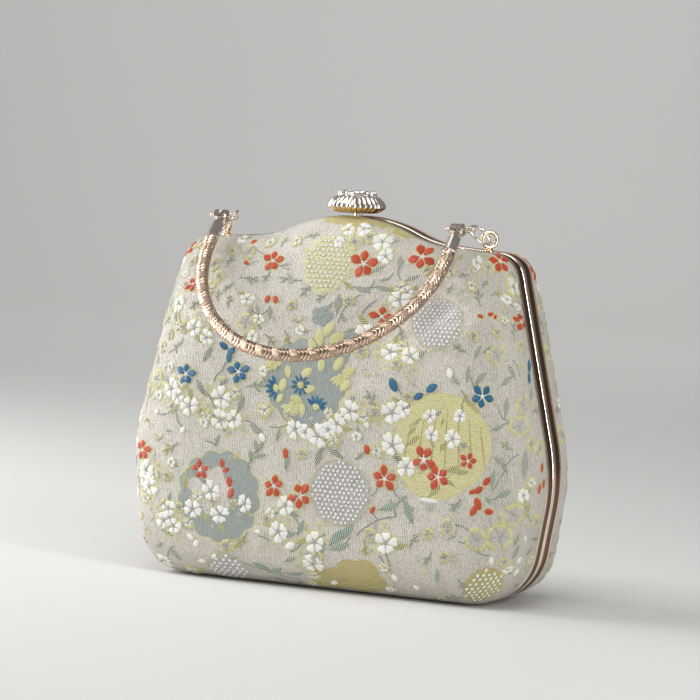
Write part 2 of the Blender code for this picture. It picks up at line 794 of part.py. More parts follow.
underside = BODY_HEIGHT + KNOB_LIFT
seat = underside + KNOB_HEIGHT + FIT_GAP
knob = [knob_body("knob_body", underside, SILVER), knob_stem("knob_stem", underside, GOLD),
        knob_spring("knob_spring", underside, STEEL),
        stone("knob_centre_stone", 0.0, KNOB_Y, seat, CENTRE_STONE_RADIUS, CRYSTAL)]
for number in range(STONE_COUNT):
    angle = 2.0 * math.pi * (number + 0.5) / STONE_COUNT
    knob.append(stone("knob_stone_%d" % (number + 1), STONE_CIRCLE * math.cos(angle),
                      KNOB_Y + STONE_CIRCLE * math.sin(angle), seat, STONE_RADIUS, CRYSTAL))
for piece in knob:
    attach(piece, knob_axis)

attach(jump_ring("jump_ring_right", 1, SILVER), right_axis)
attach(cross_pin("cross_pin_right", 1, GOLD), right_axis)
attach(jump_ring("jump_ring_left", -1, SILVER), left_axis)
attach(cross_pin("cross_pin_left", -1, GOLD), left_axis)

bar = skin("handle_bar", bar_loops(head_middle, head_half), GOLD)
bar.parent = handle_axis
for label, place in (("left", left_head), ("right", right_head)):
    ferrule("ferrule_" + label, place, GOLD).parent = handle_axis

for obj in bpy.context.scene.objects:
    if obj.parent is None:
        obj.location.y += CENTRE_SHIFT * MM
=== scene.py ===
import random
from math import (acos, atan2, copysign, cos, degrees, dist, exp, hypot, pi, radians, sin, sqrt,
                  tan, tau)

import bmesh
import bpy
from mathutils import Matrix, Vector
from mathutils.bvhtree import BVHTree
from mathutils.geometry import barycentric_transform


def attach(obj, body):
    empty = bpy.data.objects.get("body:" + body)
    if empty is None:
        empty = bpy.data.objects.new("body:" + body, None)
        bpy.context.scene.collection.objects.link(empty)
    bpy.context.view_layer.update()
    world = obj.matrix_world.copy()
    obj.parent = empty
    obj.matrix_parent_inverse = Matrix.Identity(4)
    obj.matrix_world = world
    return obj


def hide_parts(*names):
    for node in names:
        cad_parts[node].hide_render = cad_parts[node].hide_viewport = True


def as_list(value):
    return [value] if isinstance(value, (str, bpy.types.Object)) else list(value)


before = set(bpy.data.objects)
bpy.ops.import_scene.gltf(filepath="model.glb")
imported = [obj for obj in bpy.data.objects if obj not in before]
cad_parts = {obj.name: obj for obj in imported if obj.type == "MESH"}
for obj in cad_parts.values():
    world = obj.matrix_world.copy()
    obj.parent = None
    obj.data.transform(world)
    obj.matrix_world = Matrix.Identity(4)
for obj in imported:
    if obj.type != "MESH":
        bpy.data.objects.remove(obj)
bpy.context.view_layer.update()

# Lengths below are millimetres, with the seam between the halves at Y = 0 until SHIFT is added
MM = 0.001
SHIFT = Vector((0.0, 15.0, 0.0))
BODY_HEIGHT = 165.2
CROWN_Y = 34.5
CENTRE_Z = 75.0
RIM_Y = 8.6
KNOB_Y = -4.2
HINGE_X = 50.0
HINGE_Z = 1.4
HINGE_NOTCH = 9.6
AXIS_X, AXIS_Y, AXIS_Z = Vector((1, 0, 0)), Vector((0, 1, 0)), Vector((0, 0, 1))


# Shapes

def smooth(value):
    value = min(1.0, max(0.0, value))
    return value * value * (3.0 - 2.0 * value)


def shoulder_z(x):
    return BODY_HEIGHT - 7.2 - 0.078 * abs(x)


def fillet(before, corner, after, radius, steps):
    corner = Vector(corner)
    a = (Vector(before) - corner).normalized()
    b = (Vector(after) - corner).normalized()
    half = a.angle(b) / 2.0
    centre = corner + (a + b).normalized() * (radius / sin(half))
    start = corner + a * (radius / tan(half)) - centre
    sweep = start.angle_signed(corner + b * (radius / tan(half)) - centre)
    points = []
    for i in range(steps + 1):
        c, s = cos(-sweep * i / steps), sin(-sweep * i / steps)
        points.append((centre.x + start.x * c - start.y * s, centre.y + start.x * s + start.y * c))
    return points


def outline(step=2.0, extra=()):
    """The frame's outer edge in X and Z, clockwise from the hump."""
    half = [(36.9, shoulder_z(36.9), 50.0), (77.9, shoulder_z(77.9), 12.4),
            (100.0, 0.345 * BODY_HEIGHT, 80.0), (91.2, 0.0, 26.0)]
    rows = [(0.0, 171.806, 68.0)] + half + [(0.0, 0.0, 0.0)]
    rows += [(-x, z, r) for x, z, r in reversed(half)]
    points = []
    for i, (x, z, radius) in enumerate(rows):
        if radius == 0.0:
            points.append((x, z))
            continue
        steps = max(6, int(radius * 0.9 / step)) if radius >= 30.0 else int(20.0 / step) + 4
        points += fillet(rows[i - 1][:2], (x, z), rows[(i + 1) % len(rows)][:2], radius, steps)
    dense = []
    for i, (x, z) in enumerate(points):
        nx, nz = points[(i + 1) % len(points)]
        parts = max(1, int(dist((x, z), (nx, nz)) / (2.2 * step)))
        row = [(x + (nx - x) * k / parts, z + (nz - z) * k / parts) for k in range(parts)]
        row += [(e, 0.0) for e in extra if z < 0.01 and nz < 0.01 and nx < e < x]
        dense += sorted(row, key=lambda p: dist(p, (x, z)))
    return dense


def inward(points):
    """At each point, the step that sets both neighbouring edges in by one."""
    vectors = []
    for i, here in enumerate(points):
        a = (Vector(here) - Vector(points[i - 1])).normalized()
        b = (Vector(points[(i + 1) % len(points)]) - Vector(here)).normalized()
        first = Vector((a.y, -a.x))
        middle = (first + Vector((b.y, -b.x))).normalized()
        vectors.append(middle / middle.dot(first))
    return vectors


def crown_shape(z):
    """Power of the rounding and depth of the rim at a height."""
    up = smooth((z / BODY_HEIGHT - 0.76) / 0.14)
    down = smooth((0.24 - z / BODY_HEIGHT) / 0.24)
    level = 1.0 - up - down
    return (2.2 * up + 10.0 * down + 9.0 * level,
            RIM_Y + 1.2 * up + 9.0 * down + 3.5 * level)


def crown_row(x, z, w):
    """A point of the covered shell; the first part of the way follows the rounding closely."""
    split, turned_in = 0.45, 0.22
    power, rim = crown_shape(z)
    if w <= split:
        phi = acos((1.0 - turned_in) ** (power / 2.0)) * w / split
        inset = 1.0 - max(0.0, cos(phi)) ** (2.0 / power)
        height = sin(phi)
    else:
        inset = turned_in + (1.0 - turned_in) * (w - split) / (1.0 - split)
        height = sqrt(max(0.0, 1.0 - (1.0 - inset) ** power))
    return Vector((x * (1.0 - inset), -rim - (CROWN_Y - rim) * height,
                   z + (CENTRE_Z - z) * inset))


def placed(name, data):
    piece = bpy.data.objects.new(name, data)
    bpy.context.scene.collection.objects.link(piece)
    return piece


def make_mesh(name, verts, faces, material, angle=40.0):
    mesh = bpy.data.meshes.new(name)
    mesh.from_pydata([(Vector(v) + SHIFT) * MM for v in verts], [], faces)
    mesh.validate()
    mesh.shade_smooth()
    if angle:
        mesh.set_sharp_from_angle(angle=radians(angle))
    mesh.materials.append(material)
    return placed(name, mesh)


def face_outwards(piece):
    bm = bmesh.new()
    bm.from_mesh(piece.data)
    bmesh.ops.recalc_face_normals(bm, faces=bm.faces)
    bm.to_mesh(piece.data)
    bm.free()
    return piece


def skin(name, loops, material, ring=False, angle=40.0, caps=True):
    """A surface through rows of points, joined round as a ring or capped."""
    verts, starts, faces = [], [], []
    for loop in loops:
        starts.append(len(verts))
        verts += loop
    rows = list(range(len(loops)))
    for a, b in list(zip(rows, rows[1:])) + ([(rows[-1], 0)] if ring else []):
        wide = max(len(loops[a]), len(loops[b]))
        for i in range(wide):
            j = (i + 1) % wide
            faces.append([starts[a] + k for k in ((i, j) if len(loops[a]) > 1 else (0,))]
                         + [starts[b] + k for k in ((j, i) if len(loops[b]) > 1 else (0,))])
    if caps and not ring:
        for row in (0, len(loops) - 1):
            if len(loops[row]) > 2:
                faces.append([starts[row] + i for i in range(len(loops[row]))])
    return face_outwards(make_mesh(name, verts, faces, material, angle))


def circle(centre, u, v, radius, count, phase=0.0):
    step = tau / count
    return [Vector(centre) + radius * (cos(step * i + phase) * u + sin(step * i + phase) * v)
            for i in range(count)]


# Materials

def feed(tree, node, inputs):
    """Gives a node's inputs their values, or links them to other nodes' outputs."""
    for key, value in inputs.items():
        if isinstance(value, bpy.types.NodeSocket):
            tree.links.new(value, node.inputs[key])
        else:
            node.inputs[key].default_value = value
    return node


def add(tree, kind, inputs=None, **values):
    node = tree.nodes.new("ShaderNode" + kind)
    for key, value in values.items():
        setattr(node, key, value)
    return feed(tree, node, inputs or {})


def calc(tree, operation, *values):
    return add(tree, "Math", dict(enumerate(values)), operation=operation).outputs[0]


def noise(tree, place, scale, detail=2.0):
    return add(tree, "TexNoise", {"Vector": place, "Scale": scale, "Detail": detail}).outputs[0]


def two_tones(tree, value, dark, light, edges=(0.0, 1.0)):
    ramp = add(tree, "ValToRGB", {0: value})
    for element, colour, position in zip(ramp.color_ramp.elements, (dark, light), edges):
        element.color, element.position = (*colour, 1), position
    return ramp.outputs[0]


def group(name, inputs, outputs):
    """A node group with nothing in it yet: its tree, its input sockets and its output node."""
    tree = bpy.data.node_groups.new(name, "ShaderNodeTree")
    for label, value in inputs.items():
        kind = "Vector" if value is None else "Float" if isinstance(value, float) else "Color"
        socket = tree.interface.new_socket(label, in_out="INPUT", socket_type="NodeSocket" + kind)
        if value is not None:
            socket.default_value = value
    for label, kind in outputs.items():
        tree.interface.new_socket(label, in_out="OUTPUT", socket_type="NodeSocket" + kind)
    return tree, tree.nodes.new("NodeGroupInput").outputs, tree.nodes.new("NodeGroupOutput")


def polish_group():
    """Fine scratches and finger haze for polished metal, in object space."""
    tree, given, out = group("polish_wear", {"Vector": None, "Scratch Scale": 900.0,
                                             "Base Roughness": 0.14, "Spread": 0.1,
                                             "Tint": (1, 1, 1, 1)},
                             {"Colour": "Color", "Roughness": "Float", "Height": "Float"})
    along = add(tree, "VectorMath", {0: given["Vector"], 1: (1.0, 1.0, 0.12)},
                operation="MULTIPLY").outputs[0]
    haze = noise(tree, given["Vector"], 55.0, 3.0)
    tone = add(tree, "MapRange", {"Value": haze, "From Min": 0.3, "From Max": 0.7,
                                  "To Min": 0.9, "To Max": 1.04}).outputs[0]
    tint = add(tree, "Mix", {0: 1.0, 6: given["Tint"], 7: tone}, data_type="RGBA",
               blend_type="MULTIPLY")
    feed(tree, out, {"Colour": tint.outputs[2],
                     "Roughness": calc(tree, "MULTIPLY_ADD", haze, given["Spread"],
                                       given["Base Roughness"]),
                     "Height": noise(tree, along, given["Scratch Scale"], 4.0)})
    return tree


def rgb(red, green, blue):
    """Linear values of a colour given as it looks on a screen."""
    return tuple(c / 255.0 / 12.92 if c <= 10 else ((c / 255.0 + 0.055) / 1.055) ** 2.4
                 for c in (red, green, blue))


def new_material(name, **values):
    material = bpy.data.materials.new(name)
    material.use_nodes = True
    tree = material.node_tree
    shader = feed(tree, tree.nodes["Principled BSDF"],
                  {label.replace("_", " "): value for label, value in values.items()})
    return material, tree, shader


def in_object(tree):
    return add(tree, "TexCoord").outputs["Object"]


def polish(tree, tint, rough, spread):
    return add(tree, "Group", {"Vector": in_object(tree), "Tint": (*tint, 1),
                               "Base Roughness": rough, "Spread": spread},
               node_tree=POLISH).outputs


def metal(name, tint, rough, spread):
    material, tree, shader = new_material(name, Metallic=1.0)
    wear = polish(tree, tint, rough, spread)
    relief = add(tree, "Bump", {"Strength": 0.25, "Distance": 0.00001, "Height": wear["Height"]})
    feed(tree, shader, {"Base Color": wear["Colour"], "Roughness": wear["Roughness"],
                        "Normal": relief.outputs[0]})
    return material


POLISH = polish_group()
ROSE = metal("rose_gold_polish", (0.95, 0.80, 0.66), 0.10, 0.08)
WARM = metal("warm_gold_plate", (0.93, 0.68, 0.42), 0.16, 0.10)
GOLD = metal("handle_head_plate", (0.88, 0.78, 0.70), 0.12, 0.10)
SILVER = metal("bright_silver_plate", (0.92, 0.86, 0.79), 0.2, 0.08)
# Dark brown base colour for the frame's coves: painted shade and painted dark reflection in the
# hollow, not the metal's own colour.
COVE_PAINTED_SHADE = metal("rose_gold_cove_painted_shade", (0.21, 0.115, 0.07), 0.16, 0.12)
WIRE = metal("bright_ring_wire", (0.93, 0.90, 0.86), 0.2, 0.1)
# Dark base colour for the knob's flute grooves: painted shade in the hollows.
FLUTE_PAINTED_SHADE = metal("flute_groove_painted_shade", (0.36, 0.25, 0.16), 0.3, 0.1)
STEEL = metal("spring_steel_wire", (0.55, 0.55, 0.56), 0.28, 0.1)


def thread_group():
    """Warp ribs of a crepe ground with weft crossings, from cloth coordinates."""
    weft_pitch, weft_share = 0.00045, 0.28
    tree, given, out = group("thread_weave", {"Vector": None, "Rib Pitch": 0.00062,
                                              "Waviness": 1.6},
                             {"Height": "Float", "Shade": "Float"})
    across, along, _ = add(tree, "SeparateXYZ", {0: given["Vector"]}).outputs
    squeezed = add(tree, "VectorMath", {0: given["Vector"], 1: (1.0, 0.62, 1.0)},
                   operation="MULTIPLY").outputs[0]
    wander = calc(tree, "MULTIPLY", noise(tree, squeezed, 1600.0), given["Waviness"])
    turns = calc(tree, "ADD", calc(tree, "DIVIDE", across, given["Rib Pitch"]), wander)
    warp = calc(tree, "SINE", calc(tree, "MULTIPLY", turns, tau))
    weft = calc(tree, "SINE", calc(tree, "MULTIPLY", along, tau / weft_pitch))
    height = add(tree, "MapRange", {"Value": calc(tree, "MULTIPLY_ADD", weft, weft_share, warp),
                                    "From Min": -1.0 - weft_share,
                                    "From Max": 1.0 + weft_share}).outputs[0]
    # Shade is the rib height itself: the cloths colour by it, so their hollows carry painted
    # shade.
    feed(tree, out, {"Height": height, "Shade": height})
    return tree


THREADS = thread_group()


def cloth(name, dark, light, rough=0.5, pitch=0.00062, waviness=1.6, relief=0.00012,
          sheen=0.15, edges=(0.2, 0.95), gloss=0.5):
    """Woven threads between two tones; edges are where the tones start along the ribs."""
    material, tree, shader = new_material(name, Roughness=rough, Sheen_Weight=sheen,
                                          Sheen_Roughness=0.35, Specular_IOR_Level=gloss)
    place = add(tree, "UVMap", uv_map="cloth").outputs[0]
    weave = add(tree, "Group", {"Vector": place, "Rib Pitch": pitch, "Waviness": waviness},
                node_tree=THREADS).outputs
    # The tone follows the rib height: the darker hollows are partly painted shade and the lighter
    # crests partly painted light, besides the threads' own two tones.
    shade = calc(tree, "MULTIPLY_ADD", noise(tree, place, 60.0), 0.35, weave["Shade"])
    bump = add(tree, "Bump", {"Distance": relief, "Height": weave["Height"]})
    feed(tree, shader, {"Base Color": two_tones(tree, shade, dark, light, edges),
                        "Normal": bump.outputs[0]})
    return material


GROUND = cloth("brocade_ground", rgb(144, 138, 126), rgb(229, 223, 211), 0.32, 0.00084, 1.7,
               0.00024, edges=(0.08, 0.95), gloss=0.8)
SATIN = cloth("lining_satin", (0.46, 0.39, 0.31), (0.66, 0.59, 0.50), rough=0.42, pitch=0.0004,
              waviness=0.2, relief=0.00003, sheen=0.25)


def board_material():
    material, tree, shader = new_material("moulded_board", Roughness=0.85)
    grain = noise(tree, in_object(tree), 400.0, 6.0)
    feed(tree, shader, {"Base Color": two_tones(tree, grain, (0.34, 0.28, 0.21),
                                                (0.5, 0.43, 0.34))})
    return material


def stone_material():
    material, tree, shader = new_material("clear_stone", IOR=1.6, Transmission_Weight=1.0,
                                          Base_Color=(0.97, 0.97, 1.0, 1))
    dust = noise(tree, in_object(tree), 700.0)
    level = add(tree, "MapRange", {"Value": dust, "To Min": 0.0, "To Max": 0.06})
    feed(tree, shader, {"Roughness": level.outputs[0]})
    return material


STONE = stone_material()


def dress(nodes, material):
    for node in nodes:
        for entry in bpy.data.objects[node].material_slots:
            entry.material = material
        if not bpy.data.objects[node].material_slots:
            bpy.data.objects[node].data.materials.append(material)


dress(("front_shell", "back_shell"), board_material())
dress(("latch_housing", "latch_tongue", "knob_stem", "front_hinge_leaf_left",
       "front_hinge_leaf_right", "back_hinge_leaf_left", "back_hinge_leaf_right"), ROSE)
dress(("ferrule_left", "ferrule_right"), GOLD)
dress(("hinge_pin_left", "hinge_pin_right", "knob_spring"), STEEL)


# Frame band

def band_section():
    """The coved band's section, as steps in from the edge and away from the seam."""
    rows = [(1.5, 8.3), (0.45, 8.3), (0.12, 8.2), (0.0, 7.95), (0.0, 7.3), (0.1, 7.05)]
    for i in range(11):
        t = 1.0 - 0.2 * i
        rows.append((0.3 + 0.55 * (1.0 - t * t), 4.2 + 2.7 * t))
    return rows + [(0.1, 1.35), (0.0, 1.15), (0.0, 0.55), (0.1, 0.28), (0.3, 0.17), (2.0, 0.15),
                   (2.0, 0.9), (1.5, 1.3)]


def frame_band(name, side):
    section = band_section()
    edges = (-HINGE_NOTCH - 0.05, -HINGE_NOTCH, HINGE_NOTCH, HINGE_NOTCH + 0.05)
    points = outline(1.4, sorted(x + edge for x in (-HINGE_X, HINGE_X) for edge in edges))
    relief = tan(radians(42.0))
    loops = []
    for (x, z), n in zip(points, inward(points)):
        loop = []
        cut = z < 0.01 and abs(abs(x) - HINGE_X) <= HINGE_NOTCH + 0.01
        for row, (inset, away) in enumerate(section):
            pz = z + n.y * inset
            least = max((HINGE_Z - pz) * relief + 0.15, 1.7 if cut else 0.0)
            loop.append((x + n.x * inset, side * max(away, least + 0.012 * max(0, 20 - row)), pz))
        loops.append(loop)
    piece = skin(name, loops, ROSE, ring=True, angle=30.0)
    # The cove rows of the section get the dark cove material: painted shade and painted
    # reflection.
    piece.data.materials.append(COVE_PAINTED_SHADE)
    for polygon in piece.data.polygons:
        if 5 <= polygon.index % len(section) <= 15:
            polygon.material_index = 1
    return piece


# Cloth covers

WRINKLE = random.Random(7)
WAVES = [(WRINKLE.uniform(0.05, 0.22), WRINKLE.uniform(0.0, 6.28), WRINKLE.uniform(0.4, 1.0))
         for _ in range(12)]


def pucker(length):
    return sum(a * sin(f * length + p) for f, p, a in WAVES) / len(WAVES)


def even_out(ring, outward, inwards):
    """Eases the depth along a ring where the crown's rounding changes, within two limits."""
    count = len(ring)
    depths = [p.y for p in ring]
    for _ in range(26):
        depths = [(depths[i - 1] + 2.0 * depths[i] + depths[(i + 1) % count]) / 4.0
                  for i in range(count)]
    return [Vector((p.x, min(max(y, p.y - outward), p.y + inwards), p.z))
            for p, y in zip(ring, depths)]


def cover_loops(side, offset, rows, step, rim_lip):
    """Rows of the shell surface from rim to centre, set in by an offset."""
    points = outline(step)
    normals = inward(points)
    lengths = [0.0]
    for p, q in zip(points, points[1:]):
        lengths.append(lengths[-1] + dist(p, q))

    def rim(depth, inset, loose=0.0):
        return [Vector((x + n.x * (inset + loose * pucker(s * 3.0)), depth, z + n.y * inset))
                for (x, z), n, s in zip(points, normals, lengths)]

    loops = [rim(-RIM_Y - 0.02, offset + rim_lip), rim(-RIM_Y, offset + 0.12, 0.05)]
    for k in range(rows):
        w = k / rows
        ring = []
        here = [crown_row(x, z, w) for x, z in points]
        ahead = [crown_row(x, z, w + 0.004) for x, z in points]
        for i, p in enumerate(here):
            along = (here[(i + 1) % len(here)] - here[i - 1]).normalized()
            normal = along.cross(ahead[i] - p).normalized()
            if normal.dot(p - Vector((0, 0, CENTRE_Z))) < 0.0:
                normal = -normal
            fade = exp(-max(0.0, -p.y - RIM_Y) / 7.0)
            ring.append(p - normal * (offset + 0.16 * fade * (0.6 + pucker(lengths[i]))))
        loops.append(even_out(ring, 0.9, 0.22) if offset < 1.0 else even_out(ring, 0.0, 0.9))
    loops.append([Vector((0.0, -(CROWN_Y - offset), CENTRE_Z))])
    return [[Vector((p.x, -side * p.y, p.z)) for p in loop] for loop in loops]


def cloth_place(p):
    """Unrolled cloth coordinates of a point on a cover, in millimetres."""
    drop = CROWN_Y - abs(p.y)
    u = p.x + copysign(smooth((abs(p.x) - 45.0) / 40.0) * drop, p.x)
    v = p.z + copysign(smooth((abs(p.z - CENTRE_Z) - 35.0) / 40.0) * drop, p.z - CENTRE_Z)
    return u, v


def cover(name, side, offset, rows, step, material, rim_lip):
    piece = skin(name, cover_loops(side, offset, rows, step, rim_lip), material, angle=60.0,
                 caps=False)
    layer = piece.data.uv_layers.new(name="cloth")
    for loop in piece.data.loops:
        u, v = cloth_place(piece.data.vertices[loop.vertex_index].co / MM - SHIFT)
        layer.data[loop.index].uv = (u * MM, v * MM)
    return piece


def ease_off(piece, node, gap=0.5):
    """Moves the points of a lining that touch the inside of the board it is glued into."""
    shell = bpy.data.objects[node]
    points = [shell.matrix_world @ v.co for v in shell.data.vertices]
    middle = Vector((0.0, 0.0, 0.085))
    inside = [tuple(p.vertices) for p in shell.data.polygons
              if p.normal.dot((middle - points[p.vertices[0]]).normalized()) > 0.2]
    tree = BVHTree.FromPolygons(points, inside)
    for vertex in piece.data.vertices:
        spot, normal, _, _ = tree.find_nearest(vertex.co)
        if (vertex.co - spot).dot(normal) < gap * MM:
            vertex.co = spot + normal * gap * MM


front_frame = frame_band("front_frame_band", -1)
back_frame = frame_band("back_frame_band", 1)
front_cover = cover("front_cover", -1, 0.25, 58, 1.8, GROUND, 1.3)
back_cover = cover("back_cover", 1, 0.25, 58, 1.8, GROUND, 1.3)
front_lining = cover("front_lining_satin", -1, 4.2, 34, 3.2, SATIN, 0.6)
back_lining = cover("back_lining_satin", 1, 4.2, 34, 3.2, SATIN, 0.6)

ease_off(front_lining, "front_shell")
ease_off(back_lining, "back_shell")

for piece, node, body in ((front_frame, "front_frame", "front_half"),
                          (back_frame, "back_frame", "back_half"),
                          (front_cover, "front_brocade", "front_half"),
                          (back_cover, "back_brocade", "back_half"),
                          (front_lining, "front_lining", "front_half"),
                          (back_lining, "back_lining", "back_half")):
    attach(piece, body)
    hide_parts(node)


# Woven flowers, placed on the photograph, in millimetres on the unrolled cloth
# Each row is x, y, size and turn; a stem's row is its two ends

LAYOUT = {
    "red_flower": """-96 166 5.2 20, -73 135 5.2 50, -31 154 5.5 0, 14 154 6.6 5, 39 165 6.8 36,
        90 170 6.2 90, 106 130 6.5 10, -94 55 5.4 0, -57 49 4.6 10, -20 45 5.4 0, -7 42 6.2 30,
        33 53 6 0, 51 63 6.2 36, 58 56 6 20, 72 64 4.2 60""",
    "red_cross": """26 124 6.2 0""",
    "red_petal": """-44 169 3.6 60, -44 152 3.6 120, -30 129 4.2 80, -26 129 4.2 100,
        76 128 3.4 170, 82 130 3.8 20, 85 129 3 60, -46 53 3.8 100, -44 50 3.4 30, -42 45 4.6 100,
        -41 40 4.4 75, -15 60 4.4 100, 24 65 4.2 110, 28 39 3.4 60, 82 56 4.6 40, 78 52 4.6 30,
        75 51 3.4 20, 78 46 5.4 120, 76 43 5 60, 84 43 4.4 0, 116 53 4.2 80, 118 62 4 90,
        120 55 4 80""",
    "blue_flower": """-67 91 5.6 0, -40 94 5.6 15, 78 92 5.9 36""",
    "blue_petal": """-48 105 4.6 150, -44 103 4.4 40, -45 100 4.2 95, -22 104 3.8 60,
        -7 104 3.8 100, -4 104 3.4 80, 35 94 6 120, 53 94 5.4 35, 47 90 4.6 30, 111 105 5.4 85,
        110 100 4.4 90""",
    "white_flower": """-77 123 5.4 0, -64 112 5.2 20, -75 84 5.6 10, -71 81 4.6 40, -64 77 5.6 20,
        -48 82 6 0, -48 72 5.6 30, -41 73 5 10, -90 46 5.6 0, -87 39 5.8 30, -92 42 4.6 60,
        -51 40 5.6 10, -60 31 5.4 40, -46 30 5.4 0, -34 36 4.6 90, -73 30 5 10, -76 24 5.6 40,
        -70 22 5 0, -14 37 5.4 15, -17 25 6 30, 1 22 6 0, 0 11 6 20, 0 69 6.2 0, -11 71 5.4 30,
        -6 70 4.2 10, 5 72 5 40, 9 75 5 0, 20 170 5.2 10, 23 161 4.2 50, 33 134 6.2 20, 36 139 4 0,
        20 115 6.4 0, 32 108 5 20, 42 107 5 50, 35 82 6.2 10, 40 84 4.6 40, 36 68 6.4 30,
        43 59 5.4 0, 15 81 5.6 20, 35 25 6.4 0, 53 82 3.8 36, 67 83 3.7 0, 54 74 3.9 0, 64 73 5 20,
        -35 110 3.6 0, -57 108 4.4 20, -40 128 4.4 0, 72 165 4.6 0, 3 175 3.6 10, 10 177 4.2 30,
        -33 118 3.2 50""",
    "pale_flower": """64 35 4.4 0, 78 30 6.2 20, 91 32 7.2 0, 98 42 6 30, -39 116 5.2 0,
        86 110 5.4 20, 113 5 4 0, 101 80 5.6 0, 104 89 4.6 30, 10 131 3.4 10, -45 160 4.2 0,
        -81 177 3.8 20""",
    "white_bud": """-84 73 3 0, -67 66 3.2 60, -27 66 4 120, -61 18 3.6 140, -58 15 3.8 60,
        -11 19 4.8 30, -27 24 2.8 0, 39 8 3.8 110, 49 3 3.8 120, 87 20 4 90, 108 30 3 100,
        105 17 4.2 70, 104 9 4.6 60, 23 76 3.4 120, 61 101 4 100, -56 5 4.2 20, -49 9 3.2 60,
        9 -1 4.2 60""",
    "sage_leaf": """5 129 11 90, 30 159 9 95, 37 149 8 40, 15 138 9 165, 25 140 9 170, 21 152 8 50,
        -56 101 8 60, -59 86 8 120, -73 104 6 20, -75 102 5 120, 70 101 7.5 85, 77 100 8 40,
        64 98 5.5 140, 92 99 8 30, 96 103 8 130, 92 88 9 80, 87 79 7 20, 96 81 6 130, 104 64 13 85,
        91 63 8 120, 88 65 7 150, -30 69 8 145, -38 80 8 70, 1 60 9 75, 8 63 9 145, -14 56 6 80,
        -16 81 5 60, -19 68 6 80, 16 156 5 30, -24 151 6 10, -38 121 7 70, -34 123 5 110,
        -28 122 7 100, 1 127 6 60, 12 116 6 20, 10 109 7 140, 81 112 8 20, 111 93 7 60,
        75 111 7 60, -75 65 4 0, -49 63 6 70, -81 10 7 40, -71 7 9 130, 21 62 6 40, 8 68 6 20,
        28 66 4 30, 15 86 6 40, 8 122 5 120, -47 89 6 40""",
    "teal_leaf": """-2 122 6 40, 36 41 10 20, 45 40 11 115, 16 28 11 50, 13 21 10 20, 60 12 7.5 90,
        85 57 8 85, 92 51 8.5 20, 83 48 5 140, -11 12 6.5 30, -6 28 7.5 70, 11 25 10 55, 4 19 9 60,
        -9 3 8 20, -18 -4 8 150, 19 51 4 40, 102 23 9 60, -26 6 9 160, -73 35 5 80, -1 16 5 0,
        25 146 5 30, 42 45 6 40, -19 4 9 30, -39 9 5 30""",
    "olive_leaf": """60 168 6 80, 65 60 9 20, 70 59 7 10, -64 43 9 85, -61 50 6 30, 47 79 6 45,
        45 75 6 40, 46 71 8 40, 59 80 4.5 70, 59 69 4 80, 57 50 9 45, 54 60 5 30, 64 54 6 150,
        -32 32 5 60, -52 27 5 120, 46 175 4.6 80""",
    "yellow_petal": """2 116 7 60, 6 112 7.5 30, -2 112 7 100, 10 107 6.5 10, 3 106 7 140,
        -5 108 6.5 120, -10 103 6.5 150, 8 101 6.5 60, 13 98 6 20, 0 100 5.6 90, -7 96 6 40,
        12 92 6 50, -16 96 5.2 100, -18 90 5.6 80, -5 89 5.6 20, -11 84 5.6 160, -19 84 4.4 60,
        -8 80 5 100""",
    "pearl_disc": """-3 152 12.2 1, 53 124 13.2 2, 12 45 14.4 3, -43 0 11 4, 85 5 11.5 5""",
    "cloud": """-47 38 20 0, -7 92 19 20""",
    "melon": """61 69 23 0""",
    "gold_patch": """6 182 7 4, 17 187 7 4, -4 186 7 4, 27 182 5 3, 22 4 12 7, 8 1 9 6,
        72 85 4 3""",
    "slate_patch": """-2 122 6 4, 13 111 5 6, 9 105 5 5, -7 102 4 4""",
    "stem": """20 145 17 137, 15 138 23 140, 15 135 6 119, 23 133 16 121, 28 151 24 145,
        39 143 44 140, 32 147 30 155, -42 164 -34 158, -43 150 -38 154, -80 100 -70 107,
        -43 101 -48 94, -48 94 -52 89, -59 87 -55 82, 35 94 39 90, 71 100 73 95, 77 99 74 94,
        97 108 102 101, 90 98 98 103, 87 89 90 83, 90 83 99 77, 94 88 91 83, 95 81 87 79,
        100 68 92 63, 92 63 89 58, 88 57 85 52, 90 51 84 48, 37 49 43 44, 39 37 21 27, 28 38 31 35,
        42 45 46 35, 30 49 27 45, 35 20 37 11, 32 19 35 12, 79 25 86 23, 67 36 74 34, 69 29 74 29,
        64 29 68 31, -15 57 -14 52, -36 73 -27 68, -71 73 -67 67, -82 72 -72 75, -59 86 -51 77,
        -52 81 -48 84, -40 76 -37 82, -23 71 -13 74, -18 70 -19 66, 4 64 1 57, 5 64 13 60,
        -27 22 -21 20, -7 29 -12 34, -5 22 -11 16, -65 32 -62 36, 0 19 6 26, -36 8 -7 4,
        -26 6 -8 -1, -55 62 -49 60, -26 150 -21 148, -38 124 -32 120, -28 125 -33 120,
        -48 159 -51 173, 16 21 18 26, 39 37 36 44, 62 55 70 60, 15 84 18 80, -70 12 -77 4""",
}
LAYOUT = {name: [[float(value) for value in row.split()] for row in text.split(",")]
          for name, text in LAYOUT.items()}
MELON = [(61, 92), (73, 87), (83, 75), (80, 60), (70, 51.5), (60, 46.5), (45, 49.5), (40.5, 61),
         (36.5, 76), (46, 88)]

# Place, radius, petals, start and spread of the petals in degrees, and their colour
CHRYSANTHEMUMS = (
    (-9.4, 90.6, 5.0, 10, 0, 360, "blue"), (-20.5, 88.5, 6.2, 6, 105, 165, "blue"),
    (-1.5, 81.0, 6.0, 6, -10, 160, "blue"), (-13.0, 82.0, 5.6, 8, 190, 170, "yellow"),
    (-22.5, 97.0, 4.6, 7, 30, 180, "yellow"), (9.0, 96.0, 5.0, 8, 200, 190, "yellow"))

PUFFED = ((1.0, 0.0), (0.8, 0.75), (0.42, 1.0))
FLAT = ((1.0, 0.0), (0.93, 1.0), (0.75, 1.0), (0.5, 1.0), (0.25, 1.0))
LOW = ((1.0, 0.0), (0.8, 1.0))
BEAD = ((1.0, 0.0), (0.6, 0.8))
UPRIGHT = -pi / 2.0


